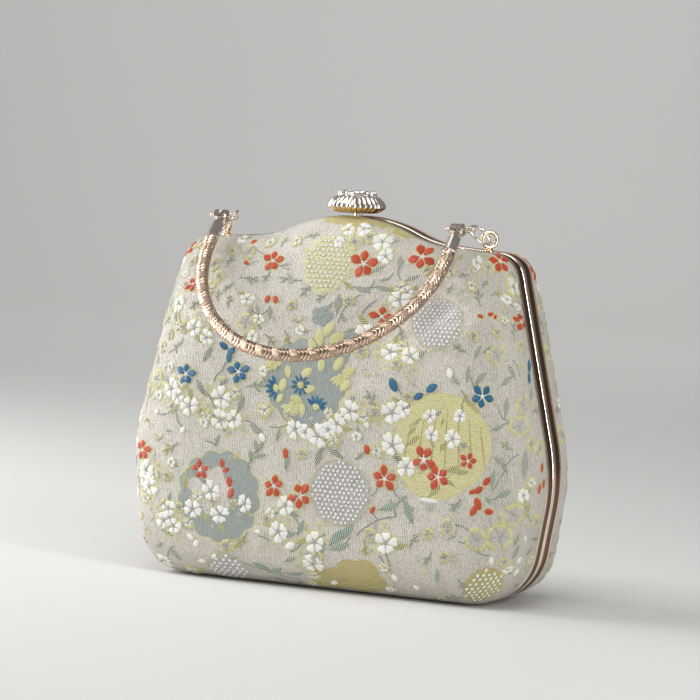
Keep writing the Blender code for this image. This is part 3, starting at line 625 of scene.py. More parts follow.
class Weft:
    """The raised thread floats of one colour."""

    def __init__(self):
        self.verts, self.faces, self.turns = [], [], []

    def patch(self, shape, base, puff, turn=0.0, rows=PUFFED):
        """A raised patch: rows are rings of its outline, by share of its size and of its lift."""
        cx, cy = middle(shape)
        first, count = len(self.verts), len(shape)
        for scale, lift in rows:
            for x, y in shape:
                self.verts.append((cx + (x - cx) * scale, cy + (y - cy) * scale,
                                   base + puff * lift))
        self.verts.append((cx, cy, base + puff))
        new = []
        for row in range(len(rows)):
            for i in range(count):
                a, b = first + row * count + i, first + row * count + (i + 1) % count
                last = row == len(rows) - 1
                new.append((a, b, len(self.verts) - 1) if last else (a, b, b + count, a + count))
        self.faces += new
        self.turns += [turn] * len(new)


def middle(shape):
    return sum(p[0] for p in shape) / len(shape), sum(p[1] for p in shape) / len(shape)


def off(x, y, far, a):
    """A point so far off another, in the direction of an angle."""
    return x + far * cos(a), y + far * sin(a)


def turned(x, y, a, points):
    """Points given along and across a direction, laid out from a place."""
    c, s = cos(a), sin(a)
    return [(x + u * c - v * s, y + u * s + v * c) for u, v in points]


def ellipse(x, y, long, wide, turn, count=12, point=0.0):
    """An oval from its middle; point above 0 sharpens both its ends."""
    points = []
    for i in range(count):
        a = tau * i / count
        points.append((long * cos(a), wide * sin(a) * (1.0 - point * abs(cos(a)) ** 1.5)))
    return turned(x, y, turn, points)


def petal_shape(x, y, start, end, wide, turn, notch=0.12):
    """A petal from the flower's middle outwards; a notch below 0 gives it a pointed end."""
    rows = [(0.0, 0.22), (0.3, 0.62), (0.62, 1.0), (0.86, 0.9), (0.98, 0.5)]
    if notch < 0.0:
        rows = [(0.0, 0.25), (0.22, 0.6), (0.46, 1.0), (0.7, 0.94), (0.88, 0.52)]
    half = [(start + (end - start) * t, wide * w) for t, w in rows]
    return turned(x, y, turn, half + [(end - notch * (end - start), 0.0)]
                  + [(u, -v) for u, v in reversed(half)])


def ragged(x, y, radius, seed, lobes=11, depth=0.07, count=72):
    """A round outline with lobes."""
    phase = random.Random(seed).uniform(0.0, 6.28)
    shape = []
    for i in range(count):
        a = tau * i / count
        shape.append(off(x, y, radius * (1.0 + depth * abs(sin(lobes * a / 2.0 + phase))
                                         - depth / 2.0 + 0.02 * sin(3 * a + phase)), a))
    return shape


def grown(shape, by, share=1.0):
    """A shape made larger by a width all round, or to a share of its size."""
    cx, cy = middle(shape)
    out = []
    for x, y in shape:
        times = share + by / hypot(x - cx, y - cy)
        out.append((cx + (x - cx) * times, cy + (y - cy) * times))
    return out


def tall(y):
    """How much taller a motif is woven where the crown slopes back under the rim."""
    return 1.0 + 0.55 * smooth((y - 132.0) / 24.0)


def broad(x):
    """How much wider a motif is woven where the front rounds back to the sides."""
    return 1.0 + 0.5 * smooth((abs(x) - 74.0) / 20.0)


def stretched(shape, x, y):
    return [(x + (px - x) * broad(x), y + (py - y) * tall(y)) for px, py in shape]


def flower(cloths, colour, x, y, radius, turn, petals=5, halo=0.5, wide=0.37, eye="white"):
    turn = radians(90.0 + turn)
    bright = colour in ("red", "blue")
    for i in range(petals):
        a = turn + tau * i / petals
        size = radius * (1.0 - 0.1 * ((i * 7 + int(x)) % 3) + (0.04 if bright else 0.0))
        shape = petal_shape(x, y, radius * 0.17, size, radius * (0.29 if bright else wide),
                            a + 0.13 * ((i * 5 + int(y)) % 3 - 1), -0.02 if bright else 0.13)
        shape = stretched(shape, x, y)
        cloths["cream"].patch(grown(shape, halo), 0.05, 0.05, a)
        cloths[colour].patch(shape, 0.12, 0.38 if bright else 0.32, a + (0.7 if bright else 0.0))
    cloths[eye].patch(ellipse(x, y, radius * 0.15, radius * 0.15, 0.0, 8), 0.14, 0.2)
    for i in range(petals):
        a = turn + tau * (i + 0.5) / petals
        seed = ellipse(*off(x, y, radius * 0.26, a), radius * 0.11, radius * 0.05, a, 6)
        cloths[eye].patch(seed, 0.2, 0.2, a)


def edged_flower(cloths, colour, x, y, sizes, turn, halo, widths, eye="grey"):
    """A pale blossom with a yellow outline."""
    flower(cloths, "yellow", x, y, sizes[0], turn, halo=halo, wide=widths[0], eye="grey")
    flower(cloths, colour, x, y, sizes[1], turn, halo=0.02, wide=widths[1], eye=eye)


def outline_petals(cloths, x, y, radius, turn):
    """Petals of a half-hidden blossom, outlined in pale yellow."""
    for i in range(3):
        a = radians(turn + 58.0 * i)
        shape = petal_shape(x, y, radius * 0.8, radius * 1.6, radius * 0.34, a, 0.08)
        shape = stretched(shape, x, y)
        cloths["yellow"].patch(grown(shape, 0.12), 0.02, 0.07, a)
        cloths["mist"].patch(grown(shape, 0.0, 0.64), 0.07, 0.06, a)


def loose_petal(cloths, colour, x, y, size, turn, bud):
    """A petal or bud by itself; yellow petals have no outline."""
    a = radians(turn)
    shape = ellipse(x, y, size * 0.55, size * (0.36 if bud else 0.33), a, 12, 0.25 if bud else 0.2)
    if colour != "yellow":
        cloths["cream"].patch(grown(shape, 0.45 if bud else 0.4), 0.05, 0.05, a)
    cloths[colour].patch(shape, 0.1 if bud else 0.16, 0.3 if bud else 0.26, a)


def leaf(cloths, colour, x, y, length, turn):
    a = radians(turn)
    shape = ellipse(x, y, length * 0.5, length * 0.19, a, 16, 0.62)
    cloths["cream"].patch(grown(shape, 0.22), 0.04, 0.03, a)
    cloths[colour].patch(shape, 0.08, 0.14, a + radians(50.0))
    rib = turned(x, y, a, [(-length * 0.56, 0.1), (length * 0.3, 0.0), (-length * 0.56, -0.1)])
    cloths["stem"].patch(rib, 0.2, 0.05, a, LOW)


def stem(cloths, x, y, to_x, to_y):
    steps, width = 8, 0.26
    a = atan2(to_y - y, to_x - x)
    bend = 0.1 * hypot(to_x - x, to_y - y) * (1 if (x + y) % 2 else -1)
    weft = cloths["stem"]
    first = len(weft.verts)
    for i in range(steps + 1):
        t = i / steps
        for step, lift in ((width, 0.07), (0.0, 0.2), (-width, 0.07)):
            side = 4.0 * bend * t * (1.0 - t) + step
            weft.verts.append((x + (to_x - x) * t - sin(a) * side,
                               y + (to_y - y) * t + cos(a) * side, lift))
    for i in range(steps):
        for b in (first + 3 * i, first + 3 * i + 1):
            weft.faces.append((b, b + 1, b + 4, b + 3))
            weft.turns.append(a + radians(45.0))


def pearls(cloths, x, y, radius, edge, pitch, size):
    rng = random.Random(int(x * 3 + y))
    rows = int(radius / (pitch * 0.8))
    for j in range(-rows, rows + 1):
        for i in range(-rows - 2, rows + 3):
            px = x + (i + 0.5 * (j % 2)) * pitch + rng.uniform(-0.3, 0.3)
            py = y + j * pitch * 0.82 + rng.uniform(-0.25, 0.25)
            if hypot(px - x, py - y) < radius - 0.9:
                bead = ellipse(px, y + (py - y) * tall(y), size * rng.uniform(0.85, 1.2),
                               size * 0.8 * tall(y), rng.uniform(0.6, 1.6), 8)
                cloths[edge].patch(grown(bead, 0.32), 0.1, 0.08, 0.0, LOW)
                cloths["white"].patch(bead, 0.17, 0.3, 0.0, BEAD)


def dotted_ring(cloths, x, y, radius, depth=0.0, lobes=11, seed=0):
    shape = ragged(x, y, radius, seed, lobes, depth, int(radius * 6.0))
    for (px, py), (qx, qy) in zip(shape, shape[1:] + shape[:1]):
        a = atan2(qy - py, qx - px)
        cloths["yellow"].patch(ellipse(px, py, 0.5, 0.28, a + 0.5, 6), 0.1, 0.15, a, BEAD)


def chrysanthemum(cloths, x, y, radius, petals, start, spread, tips):
    """A whole or half flower of long petals round a pale middle."""
    for i in range(petals):
        a = radians(start + spread * (i + 0.5) / petals)
        petal = ellipse(*off(x, y, 0.62 * radius, a), radius * 0.38, radius * 0.15, a, 10, 0.25)
        cloths["cream"].patch(grown(petal, 0.18), 0.12, 0.06, a)
        cloths[tips].patch(petal, 0.16, 0.24, a)
        cloths["yellow"].patch(ellipse(*off(x, y, 0.24 * radius, a), radius * 0.12, radius * 0.07,
                                       a, 8), 0.3, 0.14, a)
    cloths["cream"].patch(ellipse(x, y, radius * 0.2, radius * 0.2, 0, 10), 0.3, 0.2)


def fill_quiet_places(cloths, side):
    """Faint sprigs, seeds and outline blossoms between the main flowers."""
    rng = random.Random(41)
    taken = []
    for name, rows in LAYOUT.items():
        for x, y, size, _ in rows:
            share = 0.55 if name.endswith("leaf") else 1.0
            taken.append((x, y, 3.0 if name == "stem" else size * share))
    for _ in range(4000):
        x, y = rng.uniform(-117.0, 117.0), rng.uniform(-6.0, 172.0)
        size = rng.choice((3.2, 4.2, 5.2, 6.4))
        if any(hypot(x - a, y - b) < size + 0.85 * r + 0.2 for a, b, r in taken):
            continue
        taken.append((x, y, size))
        x *= side
        a = rng.uniform(0.0, 6.28)
        turn = degrees(a)
        kind = rng.random()
        if kind < 0.4:
            stem(cloths, *off(x, y, -size, a), *off(x, y, size, a))
            colour = rng.choice(("sage", "sage", "teal", "olive"))
            for k, t in ((1, -0.3), (-1, 0.1), (1, 0.5)):
                b = a + k * 0.8
                leaf(cloths, colour, *off(*off(x, y, size * t, a), size * 0.42, b), size * 0.95,
                     degrees(b))
            leaf(cloths, colour, *off(x, y, size, a), size * 0.9, turn)
        elif kind < 0.68:
            edged_flower(cloths, rng.choice(("ground", "mist", "white")), x, y,
                         (size * 0.95, size * 0.85), turn, 0.2, (0.4, 0.38))
        elif kind < 0.86:
            for k in range(7):
                b = a + 0.42 * k
                weft = cloths[rng.choice(("yellow", "cream", "mist"))]
                weft.patch(ellipse(*off(x, y, size * 0.8, b), 0.85, 0.42, b, 8), 0.08, 0.16, b)
        else:
            flower(cloths, "white", x, y, size * 0.8, turn, wide=0.4, eye="grey")
            leaf(cloths, "sage", *off(x, y, size, a), size * 1.1, turn + 20.0)


def rounded(points, steps=4):
    """A closed smooth outline through the points."""
    out, count = [], len(points)
    for i in range(count):
        a, b, c, d = (Vector(points[(i + k) % count]) for k in (-1, 0, 1, 2))
        for k in range(steps):
            t = k / steps
            curve = (2.0 * b + (c - a) * t + (2.0 * a - 5.0 * b + 4.0 * c - d) * t * t
                     + (3.0 * b - a - 3.0 * c + d) * t ** 3)
            out.append(tuple(0.5 * curve))
    return out


def white_blossom(cloths, x, y, size, turn):
    """A white flower with a leaf; a large one also hides another and has a small one beside it."""
    flower(cloths, "white", x, y, size * 0.93, turn, halo=0.6, wide=0.36, eye="grey")
    if size > 4.5:
        outline_petals(cloths, x, y, size, turn * 7 + 13 * x)
        edged_flower(cloths, "white" if int(x) % 3 == 0 else "mist",
                     *off(x, y, 1.25 * size, x * 1.7 + y), (size * 0.6, size * 0.52), turn + 30,
                     0.1, (0.38, 0.36))
    leaf(cloths, "sage" if turn % 20 else "olive", *off(x, y, size, y), size * 1.3,
         degrees(y) + 25.0)


def pearl_disc(cloths, x, y, size, seed):
    """A disc of raised pearls on a lemon, gold or pale ground."""
    colour = {1: "lemon", 5: "gold"}.get(seed, "mist")
    disc = stretched(ragged(x, y, size, seed, 17, 0.08), 0.0, y)
    if colour == "mist":
        cloths[colour].patch(disc, 0.03, 0.04, UPRIGHT, FLAT)
        dotted_ring(cloths, x, y, size, seed=seed)
    else:
        cloths[colour].patch(disc, 0.04, 0.06, UPRIGHT if colour == "lemon" else 0.9, FLAT)
    pearls(cloths, x, y, size, "grey" if colour == "mist" else "straw",
           *((3.1, 1.05) if seed > 3 else (2.3, 0.72)))


def cloud(cloths, x, y, size, seed, side):
    """A scalloped cloud; the one with seed 0 has an open middle."""
    cloths["yellow"].patch(ragged(x, y, size * 1.035, seed, 13, 0.1), 0.03, 0.04, 0.0, FLAT)
    cloths["slate"].patch(ragged(x, y, size, seed, 13, 0.1), 0.06, 0.06, UPRIGHT, FLAT)
    if seed == 0:
        x, y = x - 4.5 * side, y + 2.5
        cloths["ground"].patch(ragged(x, y, size * 0.5, 5, 7, 0.3), 0.11, 0.04, UPRIGHT, FLAT)
        dotted_ring(cloths, x, y, size * 0.52, 0.3, 7, 5)


def melon(cloths, x, y, size, side):
    """The ribbed medallion on its small stand."""
    disc = rounded([(u * side, v) for u, v in MELON])
    cloths["yellow"].patch(grown(disc, 0.5), 0.02, 0.04, 0.0, FLAT)
    cloths["sun"].patch(disc, 0.04, 0.1, 0.0, FLAT)
    for i in range(-3, 4):
        rib = ellipse(x + 6.0 * i, y + 1.0, size * 0.8 - abs(i) * 2.6, 0.35, pi / 2.0 + 0.06 * i,
                      16, 0.5)
        cloths["straw"].patch(rib, 0.12, 0.12, 1.2)
    cloths["white"].patch(ellipse(x - 6.5, y - 23.5, 4.6, 1.0, -0.05, 12), 0.1, 0.2)
    for i in range(4):
        cloths["sage"].patch(ellipse(x - 6.0, y - 25.6 - i * 0.9, 3.4 - 0.7 * i, 0.25, 0.0, 8),
                             0.1, 0.12)


def weave_all(cloths, side):
    """Every motif of one cover; on the back, side -1, the pattern is mirrored."""
    for name, rows in LAYOUT.items():
        colour, _, kind = name.rpartition("_")
        for x, y, size, turn in rows:
            x *= side
            if kind == "stem":
                stem(cloths, x, y, size * side, turn)
            elif name == "white_flower":
                white_blossom(cloths, x, y, size, turn)
            elif name == "pale_flower":
                edged_flower(cloths, "mist", x, y, (size, size * 0.91), turn, 0.1, (0.4, 0.4),
                             "white")
            elif kind in ("flower", "cross"):
                flower(cloths, colour, x, y, size, turn, 4 if kind == "cross" else 5)
            elif kind in ("petal", "bud"):
                loose_petal(cloths, colour, x, y, size, turn, kind == "bud")
            elif kind == "leaf":
                leaf(cloths, colour, x, y, size, turn)
            elif kind == "disc":
                pearl_disc(cloths, x, y, size, turn)
            elif kind == "cloud":
                cloud(cloths, x, y, size, turn, side)
            elif kind == "melon":
                melon(cloths, x, y, size, side)
            elif name == "gold_patch":
                cloths[colour].patch(ragged(x, y, size, turn, 5, 0.2), 0.03, 0.04, 0.8, FLAT)
            elif name == "slate_patch":
                cloths[colour].patch(ragged(x, y, size * 0.8, turn, 5, 0.25), 0.08, 0.06, 0.4,
                                     FLAT)
    fill_quiet_places(cloths, side)
    for x, y, radius, petals, start, spread, tips in CHRYSANTHEMUMS:
        chrysanthemum(cloths, side * x, y, radius, petals,
                      start if side > 0 else 180 - start - spread, spread, tips)


def wrapper(cover_piece):
    """Take cloth coordinates and a lift to a point on a cover."""
    mesh = cover_piece.data
    mesh.calc_loop_triangles()
    points = [v.co.copy() for v in mesh.vertices]
    normals = [v.normal.copy() for v in mesh.vertices]
    flat = [Vector((*cloth_place(p / MM - SHIFT), 0.0)) for p in points]
    triangles = [tuple(t.vertices) for t in mesh.loop_triangles]
    tree = BVHTree.FromPolygons(flat, triangles)

    def place(x, y, lift):
        spot, _, index, _ = tree.find_nearest(Vector((x, y, 0.0)))
        corners, solid, out = ([row[i] for i in triangles[index]]
                               for row in (flat, points, normals))
        at = barycentric_transform(spot, *corners, *solid)
        return at / MM - SHIFT + lift * blend(spot, corners, out)
    return place


def blend(spot, corners, normals):
    """The normal at a spot of a triangle, from its corners' normals."""
    a, b, c = corners
    whole = (b - a).cross(c - a).z
    if abs(whole) < 1e-9:
        return normals[0]
    wa = (b - spot).cross(c - spot).z / whole
    wb = (c - spot).cross(a - spot).z / whole
    return (normals[0] * wa + normals[1] * wb + normals[2] * (1.0 - wa - wb)).normalized()


def dyed(label, dark, light, *rest):
    """A cloth whose two tones are given as they look on a screen."""
    return cloth(label, rgb(*dark), rgb(*light), *rest)


LEAF_TONES = (0.15, (0.35, 0.85))
FLOATS = {
    "red": dyed("vermilion_floats", (146, 30, 12), (228, 90, 50), 0.4, 0.00055, 0.3, 0.0002, 0.06),
    "blue": dyed("blue_floats", (6, 52, 92), (32, 124, 172), 0.4, 0.00055, 0.3, 0.0002, 0.06),
    "white": dyed("white_floats", (196, 194, 189), (255, 254, 250), 0.4, 0.0006, 0.5, 0.00018,
                  0.15, (0.0, 0.65)),
    "cream": dyed("yellow_green_outline", (172, 172, 96), (228, 226, 168), 0.5, 0.0006, 0.6,
                  0.0001),
    "yellow": dyed("pale_yellow_floats", (178, 174, 104), (234, 230, 176), 0.45, 0.0006, 0.5,
                   0.00018),
    "lemon": dyed("lemon_disc_weave", (178, 176, 122), (226, 224, 180), 0.5, 0.0008, 1.2, 0.00018),
    "sun": dyed("pale_melon_weave", (190, 183, 124), (234, 227, 174), 0.46, 0.0008, 1.5, 0.0002),
    "straw": dyed("straw_shade_weave", (132, 124, 74), (196, 188, 128), 0.5, 0.0008, 1.0, 0.00018),
    "gold": dyed("olive_gold_weave", (140, 128, 74), (212, 200, 142), 0.44, 0.0011, 0.4, 0.0002),
    "slate": dyed("grey_blue_weave", (124, 134, 132), (172, 180, 174), 0.5, 0.0008, 1.2, 0.00016),
    "mist": dyed("pale_disc_weave", (160, 156, 148), (208, 204, 197), 0.5, 0.0008, 1.4, 0.00016),
    "ground": GROUND,
    "grey": dyed("grey_eye_floats", (130, 128, 126), (196, 194, 192), 0.5, 0.0005, 0.5, 0.0001),
    "sage": dyed("sage_leaf_weave", (72, 82, 72), (200, 201, 188), 0.5, 0.0009, 0.2, 0.00018,
                 *LEAF_TONES),
    "teal": dyed("teal_leaf_weave", (74, 104, 92), (190, 200, 186), 0.48, 0.0009, 0.2, 0.00018,
                 *LEAF_TONES),
    "olive": dyed("olive_leaf_weave", (106, 106, 62), (214, 210, 150), 0.5, 0.0009, 0.2, 0.00018,
                  *LEAF_TONES),
    "stem": dyed("stem_weave", (92, 100, 94), (160, 164, 154), 0.55, 0.0007, 0.4, 0.0001),
}


def weave_side(label, cover_piece, body, side):
    cloths = {name: Weft() for name in FLOATS}
    weave_all(cloths, side)
    place, pieces = wrapper(cover_piece), []
    for name, weft in cloths.items():
        piece = make_mesh(label + "_" + name + "_weave", [place(*v) for v in weft.verts],
                          weft.faces, FLOATS[name], angle=0)
        layer = piece.data.uv_layers.new(name="cloth")
        for polygon in piece.data.polygons:
            c, s = cos(weft.turns[polygon.index]), sin(weft.turns[polygon.index])
            for index in polygon.loop_indices:
                x, y, _ = weft.verts[piece.data.loops[index].vertex_index]
                layer.data[index].uv = ((-x * s + y * c) * MM, (x * c + y * s) * MM)
        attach(piece, body)
        pieces.append(piece)
    return pieces


front_weave = weave_side("front", front_cover, "front_half", 1)
back_weave = weave_side("back", back_cover, "back_half", -1)
for piece, shell, flat, area, woven in (
        (front_cover, "front_shell", (0.25, 0.218), 0.0378, front_weave),
        (back_cover, "back_shell", (0.25, 0.218), 0.0378, back_weave),
        (front_lining, "front_shell", (0.242, 0.209), 0.0333, ()),
        (back_lining, "back_shell", (0.242, 0.209), 0.0333, ())):
    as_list(woven)


# Handle

HANDLE_TILT = radians(41.0)
HANDLE_TOP = Vector((-5.4, -12.2, 161.7924))
HALF_SPAN = 57.6
BAR_RADIUS = 2.9


def handle_point(across, down, away):
    """A point by its place across, down and away from the handle's own plane."""
    c, s = cos(HANDLE_TILT), sin(HANDLE_TILT)
    return HANDLE_TOP + Vector((across, -down * s - away * c, -down * c + away * s))


def knurl_group():
    """Height of two crossing sets of fine cuts."""
    tree, given, out = group("knurl", {"Vector": None, "Pitch": 0.00105}, {"Height": "Float"})
    along, round_it, _ = add(tree, "SeparateXYZ", {0: given["Vector"]}).outputs
    waves = []
    for sign in ("ADD", "SUBTRACT"):
        turns = calc(tree, "DIVIDE", calc(tree, sign, along, round_it), given["Pitch"])
        waves.append(calc(tree, "ABSOLUTE", calc(tree, "SINE", calc(tree, "MULTIPLY", turns, pi))))
    feed(tree, out, {"Height": calc(tree, "MINIMUM", *waves)})
    return tree


def engraved_material():
    material, tree, shader = new_material("engraved_rose_gold_painted_cut_shade", Metallic=1.0)
    knurl = add(tree, "Group", {0: add(tree, "UVMap", uv_map="wrap").outputs[0]},
                node_tree=knurl_group()).outputs[0]
    band, groove_shade = (add(tree, "Attribute", attribute_name=name).outputs["Fac"]
                    for name in ("band", "groove_shade"))
    relief = add(tree, "Bump", {"Distance": 0.00015,
                                "Height": calc(tree, "MULTIPLY", knurl, band)})
    wear = polish(tree, (0.86, 0.65, 0.49), 0.24, 0.1)
    # Knurl cuts, the band edges and the tapered ends are mixed towards dark brown: painted shade
    # in the engraving's hollows.
    cut_shade = add(tree, "MapRange", {"Value": knurl, "From Max": 0.8, "To Min": 0.9, "To Max": 0.0})
    depth = calc(tree, "MAXIMUM", calc(tree, "MULTIPLY", cut_shade.outputs[0], band), groove_shade)
    tone = add(tree, "Mix", {0: depth, 6: wear["Colour"], 7: (0.09, 0.04, 0.028, 1)},
               data_type="RGBA")
    feed(tree, shader, {"Base Color": tone.outputs[2], "Roughness": wear["Roughness"],
                        "Normal": relief.outputs[0]})
    return material


def spiral_relief(s, theta):
    """Radius, knurl mask and painted shade mask (the dark grooves and cuts) of the twisted
    engraving.
    """
    turn_length, knurled = 8.4, 0.4
    around = theta / tau
    f = (s / turn_length + around) % 1.0
    groove_shade = max(0.0, 1.0 - abs(f - knurled) / 0.04, 1.0 - min(f, 1.0 - f) / 0.04)
    if f < knurled:
        bulge = sin(pi * f / knurled)
        return 2.78 + 0.12 * bulge ** 0.5, min(1.0, 6.0 * bulge), groove_shade
    zigzag = abs((around * 6.0) % 2.0 - 1.0)
    cut = min(1.0, max(0.0, 1.3 - abs((s / 1.7 + 1.3 * zigzag) % 1.0 - 0.5) / 0.19))
    return 2.89 - 0.2 * cut, 0.0, max(groove_shade, cut)


def handle_path(spacing=0.3):
    """The bow's middle line, across and down its plane, in even steps."""
    straight = [(-HALF_SPAN, 12.4 + k * 0.325) for k in range(8)]
    path = straight + [(-HALF_SPAN * cos(pi * k / 1200.0), 15.0 + 60.0 * sin(pi * k / 1200.0))
                       for k in range(1, 1200)]
    path += [(HALF_SPAN, y) for _, y in reversed(straight)]
    dense, run = [path[0]], 0.0
    for p, q in zip(path, path[1:]):
        run += dist(p, q)
        if run >= spacing:
            dense.append(q)
            run = 0.0
    if dist(dense[-1], path[-1]) > 0.1:
        dense.append(path[-1])
    return dense


def handle_bar():
    around, line = 40, handle_path()
    loops, marks, spans = [], [], [0.0]
    for i, (x, down) in enumerate(line):
        before, after = line[max(0, i - 1)], line[min(len(line) - 1, i + 1)]
        if i:
            spans.append(spans[-1] + dist(line[i - 1], (x, down)))
        tx, ty = after[0] - before[0], after[1] - before[1]
        norm = hypot(tx, ty)
        close = min(i, len(line) - 1 - i)
        row = []
        for k in range(around):
            theta = tau * k / around
            radius, band, groove_shade = spiral_relief(spans[-1], theta)
            # The four end rows taper into the ferrule and get half painted shade.
            if close < 4:
                radius, band, groove_shade = (1.9, 2.0, 2.6, 2.85)[close], 0.0, 0.5
            row.append(handle_point(x - radius * cos(theta) * ty / norm,
                                    down + radius * cos(theta) * tx / norm, radius * sin(theta)))
            marks.append((band, groove_shade))
        loops.append(row)
    piece = skin("engraved_handle", loops, engraved_material(), angle=50.0)
    for label, values in zip(("band", "groove_shade"), zip(*marks)):
        piece.data.attributes.new(label, "FLOAT", "POINT").data.foreach_set("value", values)
    layer = piece.data.uv_layers.new(name="wrap")
    for polygon in piece.data.polygons:
        corners = [piece.data.loops[i].vertex_index for i in polygon.loop_indices]
        turns = [v % around for v in corners]
        seam = max(turns) - min(turns) > around / 2
        for i, v, t in zip(polygon.loop_indices, corners, turns):
            t += around if seam and t < around / 2 else 0
            layer.data[i].uv = (spans[v // around] * MM, t / around * tau * BAR_RADIUS * MM)
    return piece


# Knob and rings

def tube(name, centres, radius, material, ring=False, sides=14):
    """A round wire along a row of points; its radius may change along it."""
    loops, count = [], len(centres)
    normal = None
    for i, p in enumerate(centres):
        before = centres[i - 1] if ring or i else centres[i]
        after = centres[(i + 1) % count] if ring or i < count - 1 else centres[i]
        along = (after - before).normalized()
        if normal is None:
            normal = along.orthogonal().normalized()
        normal = (normal - along * normal.dot(along)).normalized()
        r = radius(i / (count - 1)) if callable(radius) else radius
        loops.append(circle(p, normal, along.cross(normal), r, sides))
    return skin(name, loops, material, ring=ring)


def ring_wire(name, centre, u, v, radius, thick, material, count=64, sides=16):
    return tube(name, circle(centre, u, v, radius, count), thick, material, True, sides)


def join(name, pieces):
    bm = bmesh.new()
    materials = []
    for piece in pieces:
        start, first = len(bm.faces), len(materials)
        materials += piece.data.materials
        bm.from_mesh(piece.data)
        bm.faces.ensure_lookup_table()
        for face in bm.faces[start:]:
            face.material_index += first
        bpy.data.objects.remove(piece)
    mesh = bpy.data.meshes.new(name)
    bm.to_mesh(mesh)
    bm.free()
    for material in materials:
        mesh.materials.append(material)
    return placed(name, mesh)


KNOB_BASE = 166.45
KNOB_RADIUS = 12.95
KNOB_HEIGHT = 7.6
KNOB_SHAPE = ((0.62, 0.0), (0.72, 0.02), (0.85, 0.13), (0.95, 0.25), (1.0, 0.345), (1.0, 0.42),
              (0.985, 0.5), (0.95, 0.62), (0.89, 0.75), (0.82, 0.87), (0.755, 0.955), (0.72, 0.99),
              (0.68, 1.0), (0.5, 1.01), (0.2, 1.015))
STONE_BASE = 174.3


def knob_cap():
    """The fluted body, hollow below for its stem."""
    around, flutes, groove_depth = 300, 15.0, 0.62
    loops = [circle((0, KNOB_Y, KNOB_BASE + up), AXIS_X, AXIS_Y, radius, around)
             for radius, up in ((3.6, 4.4), (3.75, 0.05))]
    for share, height in KNOB_SHAPE:
        deep = groove_depth * min(1.0, height / 0.1) * min(1.0, max(0.0, (1.0 - height) / 0.12))
        row = []
        for k in range(around):
            a = tau * k / around
            r = KNOB_RADIUS * share - deep * (1.0 - abs(cos(flutes * a))) ** 0.8
            row.append((*off(0.0, KNOB_Y, r, a), KNOB_BASE + KNOB_HEIGHT * height))
        loops.append(row)
    piece = skin("fluted_knob", loops, SILVER, angle=32.0)
    piece.data.materials.append(WARM)
    piece.data.materials.append(FLUTE_PAINTED_SHADE)
    for polygon in piece.data.polygons:
        x, y, z = polygon.center / MM - SHIFT
        height = (z - KNOB_BASE) / KNOB_HEIGHT
        # Faces down in the flute grooves get the dark groove material: painted shade in the
        # flutes.
        if 0.1 < height < 0.95 and abs(cos(flutes * atan2(y - KNOB_Y, x))) < 0.34:
            polygon.material_index = 2
        elif height < 0.38:
            polygon.material_index = 1
    return piece


def gem(name, x, y, radius, turn):
    """A brilliant: octagon table, star and kite facets, girdle and a cone below."""
    verts = []
    for share, height, count, phase in ((0.52, 1.95, 8, pi / 8.0), (0.8, 1.404, 8, 0.0),
                                        (1.0, 0.78, 16, 0.0), (1.0, 0.6435, 16, 0.0),
                                        (0.45, 0.0, 16, 0.0)):
        verts += circle((x, y, STONE_BASE + height), AXIS_X, AXIS_Y, radius * share, count,
                        turn + phase)
    faces = [tuple(range(8))]
    for k in range(8):
        n = (k + 1) % 8
        faces += [(k, n, 8 + n), (k, 8 + n, 8 + k), (8 + k, 8 + n, 16 + 2 * k + 1),
                  (8 + k, 16 + 2 * k + 1, 16 + 2 * k),
                  (8 + n, 16 + (2 * k + 2) % 16, 16 + 2 * k + 1)]
    for k in range(16):
        n = (k + 1) % 16
        faces += [(16 + k, 16 + n, 32 + n, 32 + k), (32 + k, 32 + n, 48 + n, 48 + k)]
    faces.append(tuple(range(63, 47, -1)))
    piece = make_mesh(name, verts, faces, STONE, angle=0)
    piece.data.shade_flat()
    return face_outwards(piece)


def claws(name, spots):
    """Four bent claws round each stone."""
    pieces = []
    for x, y, radius, turn in spots:
        for k in range(4):
            a = turn + pi / 4.0 + k * pi / 2.0
            centres = [Vector((*off(x, y, radius + out, a), STONE_BASE + 0.05 + up))
                       for out, up in ((0.22, -0.35), (0.2, 0.5), (0.05, 1.05), (-0.35, 1.38),
                                       (-0.6, 1.42))]
            pieces.append(tube("claw", centres, lambda t: 0.36 - 0.1 * t, SILVER, sides=8))
    return join(name, pieces)


handle = handle_bar()
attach(handle, "handle")
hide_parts("handle_bar")
knob = knob_cap()
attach(knob, "knob")
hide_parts("knob_body")
spots = [(0.0, KNOB_Y, 3.0, 0.0)]
for n in range(8):
    a = radians(45.0 * (n + 0.5))
    spots.append((*off(0.0, KNOB_Y, 6.5, a), 2.2, a))
for n, (x, y, radius, turn) in enumerate(spots):
    stone = gem("cut_stone_%d" % n, x, y, radius, turn)
    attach(stone, "knob")
    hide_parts("knob_centre_stone" if n == 0 else "knob_stone_%d" % n)
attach(claws("stone_claws", spots), "knob")

RING_RADIUS = 5.35
FOOT_SHAPE = ((2.25, None), (2.25, 0.4), (2.1, 0.6), (1.6, 0.85), (1.4, 1.2), (1.3, 1.9))
PIN_SHAPE = ((0.0, -11.7), (0.5, -11.62), (0.85, -11.4), (1.05, -10.9), (1.0, -10.5), (0.7, -9.9),
             (0.65, -9.5), (0.65, -2.5), (1.05, -2.48), (1.15, -2.35), (1.15, -2.0), (1.0, -1.9),
             (0.6, -1.85), (0.45, -1.75), (0.0, -1.75))

